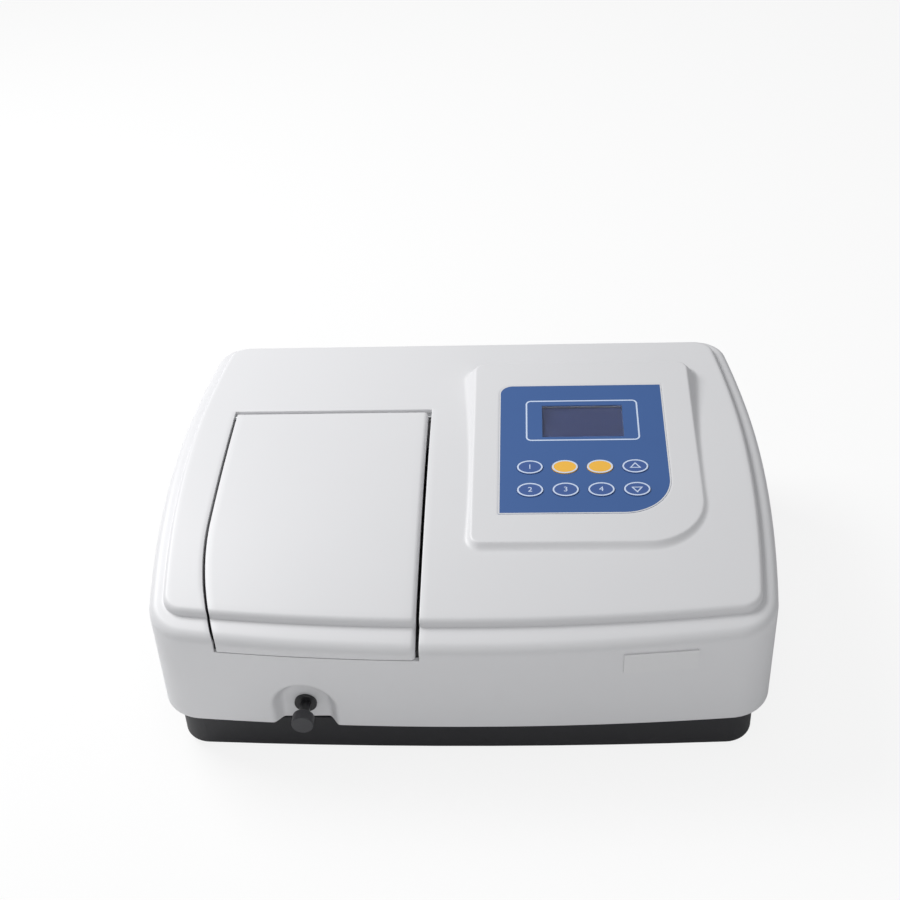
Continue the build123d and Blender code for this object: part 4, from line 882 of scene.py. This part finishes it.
def fill_rear_wall(holes, rings, material):
    """Flat walls in the back wall's holes, one open for the rear panel, one slotted for the fan."""
    levels = vent_centre[1] + vent_pitch * (np.arange(vent_slots) - (vent_slots - 1) / 2)
    slot_corner = vent_slot[1] / 2 * slot_round_share
    openings = {
        "panel": [rounded_box(panel_cut, panel_cut_corner)],
        "vent": [rounded_box(box_around((vent_centre[0], z), vent_slot), slot_corner) for z in levels],
    }

    def rear_place(across, up, out):
        """Lays a flat piece on the inside of the cover's back."""
        return np.stack([across, case_back - out, up], axis=-1)

    for (r0, r1), (c0, c1), name in holes:
        low_x, high_x = rings[r0, c1, 0], rings[r0, c0, 0]
        low_z, high_z = rings[r0, c0, 2], rings[r1, c0, 2]
        corners = [(low_x, low_z), (high_x, low_z), (high_x, high_z), (low_x, high_z)]
        loops = [np.array(corners), *openings[name]]
        insert = flat_piece(name + "_wall", loops, wall, rear_place, material, "chassis")


class LidRows:
    """Rows of the lid's skin, each where a path y(x) on the case meets the lid's columns.

    A column keeps its share of the way from the lid's curved left edge to its straight right
    edge. The last few columns on each side turn down along a circle.
    """

    def __init__(self):
        left, right = lid_left_places, lid_right_places
        middle = np.linspace(0, 1, lid_across_steps + 1)
        between = left[-1] * (1 - middle) - right[0] * middle
        self.share = np.concatenate([np.zeros(len(left) - 1), middle, np.ones(len(right) - 1)])
        self.offset = np.concatenate([left[:-1], between, -right[1:]])
        self.drop = np.zeros(len(self.share))
        self.drop[: len(left)] = rounded_edge(left, seam_edge)
        self.drop[-len(right) :] = rounded_edge(right, lid_right_edge)
        self.rows = []

    def across(self, y):
        """Where the columns lie at a place along the case."""
        return (1 - self.share) * lid_left_edge(y) + self.share * lid_right + self.offset

    def add(self, path, height, turn=math.pi / 2):
        """Adds the row on this path y(x) with this height z(y), its sides falling along the turn."""
        x = self.across(np.full(len(self.share), lid_sweep_end))
        for _ in range(lid_settle_rounds):
            x = self.across(path(x))
        y = path(x)
        z = height(y) - self.drop * math.sin(turn)
        self.rows.append(np.column_stack([x, y + self.drop * math.cos(turn), z]))


def constant(value):
    """A path or height that is the same everywhere."""
    return lambda place: np.full_like(place, value)


def lid_rows():
    """The lid's rows: bottom edge, wall, shoulder, ledge, step, plateau and hinge roll."""
    low, high, step = case_outline(rim_level), case_outline(top_level), plateau_outline()
    skin = LidRows()

    def wall_path(z, inset=0.0):
        """The path on the case's wall at a height, this far inside it."""
        part = (z - rim_level) / (top_level - rim_level)
        return lambda x: low.front_y(x) + part * (high.front_y(x) - low.front_y(x)) + inset

    def step_path(inset):
        """The path this far inside the plateau's edge."""
        return lambda x: step.front_y(x) + inset

    def below_top(fall):
        """The height this far below the plateau's."""
        return lambda y: top_height(y) - fall

    wall_top = ledge_height(lid_wall_top_y) - shoulder_fillet
    for rise, inset, _ in fillet(lid_bottom_edge, bottom_turns):
        skin.add(wall_path(lid_bottom + rise, inset), constant(lid_bottom + rise), 0.0)
    z = (lid_bottom + wall_top) / 2
    skin.add(wall_path(z), constant(z), 0.0)
    for inset, fall, turn in fillet(shoulder_fillet, (0.0, *quarter)):
        skin.add(wall_path(wall_top, inset), below_top(step_height + fall), turn)
    inner = wall_path(wall_top, shoulder_fillet)
    for part in ledge_shares:
        skin.add(lambda x: inner(x) + part * (step.front_y(x) - step_root - inner(x)), ledge_height)
    for rise, back, turn in fillet(step_root, root_quarter):
        skin.add(step_path(-back), lambda y: ledge_height(y) + rise, math.pi / 2 - turn)
    for inset, fall, turn in fillet(plateau_fillet, quarter):
        skin.add(step_path(inset), below_top(fall), turn)
    hinge_y = lid_back - hinge_roll
    for part in np.linspace(0, 1, lid_length_steps + 1)[1:]:
        skin.add(lambda x: (step.front_y(x) + plateau_fillet) * (1 - part) + part * hinge_y, top_height)
    for angle in hinge_turns:
        z = top_level - hinge_roll + hinge_roll * math.cos(angle)
        skin.add(constant(hinge_y + hinge_roll * math.sin(angle)), constant(z))
    return np.array(skin.rows)


def make_lid(material, thickness):
    """The sample lid: one skin over the case's surfaces, given its thickness inward."""
    points = lid_rows()
    lid = surface("moulded_lid", points.reshape(-1, 3), quads(*points.shape[:2]), material, "lid")
    thick = lid.modifiers.new("Thickness", "SOLIDIFY")
    thick.thickness = thickness
    thick.offset = -1.0
    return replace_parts(lid, "sample_lid")


def make_light_trap(material):
    """A ring under the lid from just over the chamber's seal up into the lid's skin."""
    trap_rings = []
    for side, at_top in ((1, False), (1, True), (-1, True), (-1, False), (1, False)):
        grow = side * trap_width / 2
        loop = rounded_box(grown(trap_box, grow), trap_corner + grow)
        level = top_height(loop[:, 1]) - lid_wall if at_top else np.full(len(loop), trap_base)
        trap_rings.append(np.column_stack([loop, level]))
    points = np.array(trap_rings)
    faces = quads(*points.shape[:2], closed=True)
    trap = surface("lid_light_trap", points.reshape(-1, 3), faces, material, "lid")
    return trap


def empty_tree(owner):
    """The node tree of a material or a world, with nothing in it."""
    owner.use_nodes = True
    owner.node_tree.nodes.clear()
    return owner.node_tree


def add_node(tree, kind, inputs=None, **settings):
    """A shader node. Each of its inputs takes a value or the output that feeds it."""
    node = tree.nodes.new("ShaderNode" + kind)
    for name, value in settings.items():
        setattr(node, name, value)
    for name, value in (inputs or {}).items():
        if isinstance(value, bpy.types.NodeSocket):
            tree.links.new(value, node.inputs[name])
        else:
            node.inputs[name].default_value = value
    return node


def noise(tree, place, size, detail):
    """The value of a noise whose features have this size in millimetres."""
    inputs = {"Vector": place, "Scale": METRE / size, "Detail": detail}
    return add_node(tree, "TexNoise", inputs).outputs["Fac"]


def textured(
    name, colour, roughness, grain, depth, mottle=0.03, metal=0.0, stretch=(1, 1, 1), clear=False
):
    """A finish with a fine grain in its bump and a slow drift in its colour and roughness.

    grain is the grain's size and depth its height, both in millimetres. mottle is how far the
    colour drifts from its mean. clear makes it glass.
    """
    material = bpy.data.materials.new(name)
    tree = empty_tree(material)
    place = add_node(tree, "TexCoord").outputs["Object"]
    place = add_node(tree, "Mapping", {"Vector": place, "Scale": stretch}).outputs[0]
    fine, slow = noise(tree, place, grain, fine_detail), noise(tree, place, drift_size, drift_detail)
    dark, light = ((*(min(c * share, 1.0) for c in colour), 1) for share in (1 - mottle, 1 + mottle))
    tint = add_node(tree, "Mix", {"Factor": slow, "A": dark, "B": light}, data_type="RGBA")
    least = max(roughness - gloss_drift, least_roughness)
    gloss = add_node(tree, "MapRange", {"Value": fine, "To Min": least, "To Max": roughness + gloss_drift})
    bump = add_node(tree, "Bump", {"Height": fine, "Strength": 1.0, "Distance": depth / METRE})
    inputs = {
        "Base Color": tint.outputs["Result"],
        "Roughness": gloss.outputs[0],
        "Normal": bump.outputs[0],
        "Metallic": metal,
    }
    if clear:
        inputs.update({"Transmission Weight": 1.0, "IOR": glass_index})
    shader = add_node(tree, "BsdfPrincipled", inputs)
    add_node(tree, "OutputMaterial", {"Surface": shader.outputs[0]})
    return material


# Colour, roughness, grain, depth, mottle, metal and stretch, in the order of textured
FINISHES = {
    "shell_white": ((0.72, 0.72, 0.735), 0.42, 0.9, 0.006, 0.01),
    # plate_white also colours the painted highlight round the panel's edge
    "plate_white": ((0.73, 0.73, 0.74), 0.35, 0.5, 0.003),
    "base_charcoal": ((0.016, 0.016, 0.019), 0.52, 0.8, 0.03, 0.12),
    "black_rubber": ((0.02, 0.02, 0.02), 0.75, 0.6, 0.02),
    "black_plastic": ((0.014, 0.014, 0.016), 0.32, 0.7, 0.006),
    "knob_grey": ((0.040, 0.040, 0.045), 0.40, 0.6, 0.006),
    "panel_blue": ((0.050, 0.122, 0.330), 0.36, 0.35, 0.003, 0.05),
    "key_blue": ((0.055, 0.115, 0.330), 0.36, 0.35, 0.003, 0.04),
    "key_yellow": ((0.90, 0.50, 0.07), 0.36, 0.35, 0.003, 0.04),
    "display_dark": ((0.150, 0.185, 0.400), 0.25, 0.5, 0.001, 0.05),
    "chamber_black": ((0.016, 0.016, 0.018), 0.62, 0.5, 0.02, 0.15),
    "anodised_black": ((0.02, 0.02, 0.022), 0.36, 0.4, 0.004, 0.03, 0.4),
    "cast_aluminium": ((0.55, 0.56, 0.58), 0.45, 1.4, 0.05, 0.03, 0.9),
    "plain_steel": ((0.56, 0.57, 0.58), 0.30, 1.2, 0.004, 0.03, 1.0, (0.05, 1, 1)),
    "optic_mirror": ((0.88, 0.88, 0.90), 0.06, 2.0, 0.0, 0.03, 1.0),
    "circuit_green": ((0.02, 0.16, 0.07), 0.35, 1.5, 0.01, 0.2),
    "print_white": ((0.62, 0.72, 0.90), 0.4, 0.4, 0.002),
}
GLASSES = {
    "display_glass": ((0.75, 0.78, 0.85), 0.05, 2.0, 0.0005),
    "quartz": ((0.9, 0.93, 0.95), 0.03, 2.0, 0.0005),
    "lamp_glass": ((0.92, 0.93, 0.95), 0.03, 2.0, 0.0005),
}


def finish(slot):
    """The material of a slot, made when it is first asked for."""
    name = "finish_" + slot
    known = bpy.data.materials.get(name)
    if known:
        return known
    if slot in GLASSES:
        return textured(name, *GLASSES[slot], clear=True)
    return textured(name, *FINISHES[slot])


def dress_nodes():
    """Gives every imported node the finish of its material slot."""
    for part in frame["record"]["subparts"]:
        materials = frame["nodes"][part["node"]].data.materials
        materials.clear()
        materials.append(finish(part["material_slot"]))


def flat_piece(name, loops, thickness, place, material, body):
    """A flat plate from closed loops, the inner ones its holes.

    The loops fill a flat curve. Its mesh is then laid by place, which takes across, up, out.
    """
    curve = bpy.data.curves.new(name, "CURVE")
    curve.dimensions = "2D"
    curve.fill_mode = "BOTH"
    curve.extrude = thickness / 2 / METRE
    for loop in loops:
        spline = curve.splines.new("POLY")
        spline.points.add(len(loop) - 1)
        full = np.column_stack([loop / METRE, np.zeros(len(loop)), np.ones(len(loop))])
        spline.points.foreach_set("co", full.ravel())
        spline.use_cyclic_u = True
    return lay_curve(name, curve, thickness, place, material, body)


def lay_curve(name, curve, thickness, place, material, body):
    """Turns a curve or text into a mesh and lays it, its underside at out = 0."""
    holder = place_object(name + "_curve", curve)
    mesh = bpy.data.meshes.new_from_object(holder)
    bpy.data.objects.remove(holder)
    mesh.name = name
    mesh.materials.clear()
    points = np.zeros(len(mesh.vertices) * 3)
    mesh.vertices.foreach_get("co", points)
    across, up, out = points.reshape(-1, 3).T * METRE
    laid = place(across, up, out + thickness / 2)
    mesh.vertices.foreach_set("co", (laid / METRE).ravel())
    return finish_mesh(place_object(name, mesh), material, body, print_weld_reach)


def ellipse(width, height, steps=64):
    """A closed loop: half the width times cosine, half the height times sine."""
    angles = np.linspace(0, 2 * math.pi, steps, endpoint=False)
    return directions(angles) * (width / 2, height / 2)


def arrow(flip):
    """Two triangles, one inside the other, that point up for 1 and down for -1."""
    outer = arrow_reach * (directions(np.radians([90, 210, 330])) * (arrow_stretch, flip))
    return [outer, outer * arrow_inner_share]


def console_place(rise, centre=(0.0, 0.0)):
    """Lays a flat piece on the console's slope, this far above its face."""
    return lambda across, up, out: on_console(across + centre[0], up + centre[1], out + rise)


def make_prints(ink):
    """Outlines and marks printed on film and keys, each a thin raised layer of ink. The white line round
    the panel is a painted highlight along its edge, laid as ink in the same way.
    """
    pale, edge = finish("print_white"), finish("plate_white")
    loops = [
        rounded_box(grown(display_frame, -inset), display_frame_corner - inset)
        for inset in (0.0, display_frame_line)
    ]
    flat_piece("display_frame_print", loops, ink, console_place(film_top), pale, "chassis")
    # White line round the panel: a painted highlight along its edge, laid as ink on the film
    inner_corners = np.maximum(panel_corners - panel_highlight_width, least_corner)
    loops = [
        rounded_box(panel_box, panel_corners, panel_corner_steps),
        rounded_box(grown(panel_box, -panel_highlight_width), inner_corners, panel_corner_steps),
    ]
    flat_piece("panel_edge_highlight_print", loops, ink, console_place(film_top), edge, "chassis")
    centres = [(x, y) for y in key_rows for x in key_columns]
    for (key, mark), centre in zip(key_marks.items(), centres):
        place, body = console_place(film_top + key_proud, centre), key + "_button"
        ring = [ellipse(key_size[0] - inset, key_size[1] - inset) for inset in key_ring_insets]
        flat_piece(key + "_ring_print", ring, ink, place, pale, body)
        if mark in ("up", "down"):
            loops = arrow(1 if mark == "up" else -1)
            flat_piece(key + "_mark_print", loops, ink, place, pale, body)
        elif mark:
            text = bpy.data.curves.new(key + "_mark_text", "FONT")
            text.body = mark
            text.size = digit_height / METRE
            text.align_x, text.align_y = "CENTER", "CENTER"
            text.extrude = ink / 2 / METRE
            lay_curve(key + "_mark_print", text, ink, place, pale, body)


def make_camera():
    """The camera fitted to the photo, turned by its heading, its pitch and its roll."""
    data = bpy.data.cameras.new("view")
    data.lens, data.sensor_width = camera_lens, camera_sensor
    data.clip_start, data.clip_end = camera_range
    camera = place_object("view", data)
    camera.matrix_world = (
        Matrix.Translation(camera_place)
        @ Matrix.Rotation(camera_heading, 4, "Z")
        @ Matrix.Rotation(math.pi / 2 + camera_pitch, 4, "X")
        @ Matrix.Rotation(camera_roll, 4, "Z")
    )
    bpy.context.scene.camera = camera


def mix_to_output(tree, share, first, second, output):
    """Leads two shaders to the tree's output, the second by its share."""
    mix = add_node(tree, "MixShader", {0: share, 1: first.outputs[0], 2: second.outputs[0]})
    add_node(tree, output, {"Surface": mix.outputs[0]})


def make_stage(settings):
    """Sky, floor and lamps. The camera sees a white sky and a floor that glows by its share."""
    scene = bpy.context.scene
    scene.view_settings.view_transform = "Standard"
    scene.world = bpy.data.worlds.new("studio")
    tree = empty_tree(scene.world)
    seen = add_node(tree, "LightPath").outputs["Is Camera Ray"]
    soft = add_node(tree, "Background", {"Color": sky_colour, "Strength": settings.sky_strength})
    white = add_node(tree, "Background", {"Color": (1, 1, 1, 1), "Strength": 1.0})
    mix_to_output(tree, seen, soft, white, "OutputWorld")

    s = floor_half_size
    mesh = bpy.data.meshes.new("floor")
    mesh.from_pydata([(-s, -s, 0), (s, -s, 0), (s, s, 0), (-s, s, 0)], [], [(0, 1, 2, 3)])
    material = bpy.data.materials.new("floor")
    tree = empty_tree(material)
    seen = add_node(tree, "LightPath").outputs["Is Camera Ray"]
    share = add_node(tree, "Math", {0: seen, 1: floor_glow_share}, operation="MULTIPLY")
    diffuse = add_node(tree, "BsdfDiffuse", {"Color": floor_colour})
    glow = add_node(tree, "Emission", {"Strength": 1.0})
    mix_to_output(tree, share.outputs[0], diffuse, glow, "OutputMaterial")
    mesh.materials.append(material)
    floor = place_object("floor", mesh)
    add_lamp("key_light", key_lamp_place, key_lamp_size, settings.key_power)
    add_lamp("fill_light", fill_lamp_place, fill_lamp_size, settings.fill_power)


def add_lamp(name, place, size, power):
    """A square area lamp that faces the lamps' target."""
    data = bpy.data.lights.new(name, "AREA")
    data.size = size
    data.energy = power
    aim = Vector(np.array(lamp_target) - np.array(place))
    turn = aim.to_track_quat("-Z", "Y").to_matrix().to_4x4()
    place_object(name, data).matrix_world = Matrix.Translation(place) @ turn


class LidSettings(bpy.types.PropertyGroup):
    """What can be set for the lid"""

    thickness: bpy.props.FloatProperty(
        name="Wall", description="Thickness of the lid's moulded wall", default=lid_wall / METRE,
        min=0.001, max=0.003, unit="LENGTH",
    )


class PrintSettings(bpy.types.PropertyGroup):
    """What can be set for the prints"""

    ink: bpy.props.FloatProperty(
        name="Ink", description="Height of the printed layer over film and keys", default=0.00005,
        min=0.00002, max=0.0002, precision=5, unit="LENGTH",
    )


class StageSettings(bpy.types.PropertyGroup):
    """What can be set for the studio"""

    sky_strength: bpy.props.FloatProperty(
        name="Sky", description="Strength of the even light from all round", default=0.33, min=0.0
    )
    key_power: bpy.props.FloatProperty(
        name="Main lamp", description="Power of the lamp up on the left", default=25.0, min=0.0,
        subtype="POWER", unit="POWER",
    )
    fill_power: bpy.props.FloatProperty(
        name="Front lamp", description="Power of the lamp in front", default=6.0, min=0.0,
        subtype="POWER", unit="POWER",
    )


class SPECTRO_OT_finishes(bpy.types.Operator):
    """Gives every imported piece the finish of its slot"""

    bl_idname = "spectro.finishes"
    bl_label = "Finish the packed pieces"

    def execute(self, context):
        dress_nodes()
        return {"FINISHED"}


class SPECTRO_OT_cover(bpy.types.Operator):
    """Builds the moulded cover with its console, recess and rear wall"""

    bl_idname = "spectro.cover"
    bl_label = "Moulded cover"

    def execute(self, context):
        make_cover(finish("shell_white"))
        return {"FINISHED"}


class SPECTRO_OT_lid(bpy.types.Operator):
    """Builds the hinged sample lid on the cover's surfaces"""

    bl_idname = "spectro.lid"
    bl_label = "Sample lid"

    def execute(self, context):
        make_lid(finish("shell_white"), context.scene.spectro_lid.thickness)
        make_light_trap(finish("shell_white"))
        return {"FINISHED"}


class SPECTRO_OT_prints(bpy.types.Operator):
    """Prints the outlines and marks on the film and the keys"""

    bl_idname = "spectro.prints"
    bl_label = "Film and key prints"

    def execute(self, context):
        make_prints(context.scene.spectro_print.ink * METRE)
        return {"FINISHED"}


class SPECTRO_OT_stage(bpy.types.Operator):
    """Sets up floor, sky, lamps and camera"""

    bl_idname = "spectro.stage"
    bl_label = "Studio and camera"

    def execute(self, context):
        make_stage(context.scene.spectro_stage)
        make_camera()
        return {"FINISHED"}


STEPS = (SPECTRO_OT_finishes, SPECTRO_OT_cover, SPECTRO_OT_lid, SPECTRO_OT_prints, SPECTRO_OT_stage)


class SPECTRO_PT_pieces(bpy.types.Panel):
    """Lists the settings and the steps in their order"""

    bl_label = "Spectrophotometer"
    bl_space_type = "VIEW_3D"
    bl_region_type = "UI"
    bl_category = "Spectrophotometer"

    def draw(self, context):
        scene = context.scene
        self.layout.prop(scene.spectro_lid, "thickness")
        self.layout.prop(scene.spectro_print, "ink")
        for name in ("sky_strength", "key_power", "fill_power"):
            self.layout.prop(scene.spectro_stage, name)
        for step in STEPS:
            self.layout.operator(step.bl_idname)


SETTINGS = {"spectro_lid": LidSettings, "spectro_print": PrintSettings, "spectro_stage": StageSettings}


def register():
    """Adds the settings, the operators and the panel to Blender."""
    for group in SETTINGS.values():
        bpy.utils.register_class(group)
    for name, group in SETTINGS.items():
        setattr(bpy.types.Scene, name, bpy.props.PointerProperty(type=group))
    for item in (*STEPS, SPECTRO_PT_pieces):
        bpy.utils.register_class(item)


def unregister():
    """Takes them out again, in reverse order."""
    for item in (SPECTRO_PT_pieces, *STEPS[::-1]):
        bpy.utils.unregister_class(item)
    for name, group in SETTINGS.items():
        delattr(bpy.types.Scene, name)
        bpy.utils.unregister_class(group)


def main():
    """Runs every step."""
    register()
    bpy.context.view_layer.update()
    bpy.ops.spectro.finishes()
    bpy.ops.spectro.cover()
    bpy.ops.spectro.lid()
    bpy.ops.spectro.prints()
    bpy.ops.spectro.stage()
    bpy.context.view_layer.update()


if __name__ == "__main__":
    main()
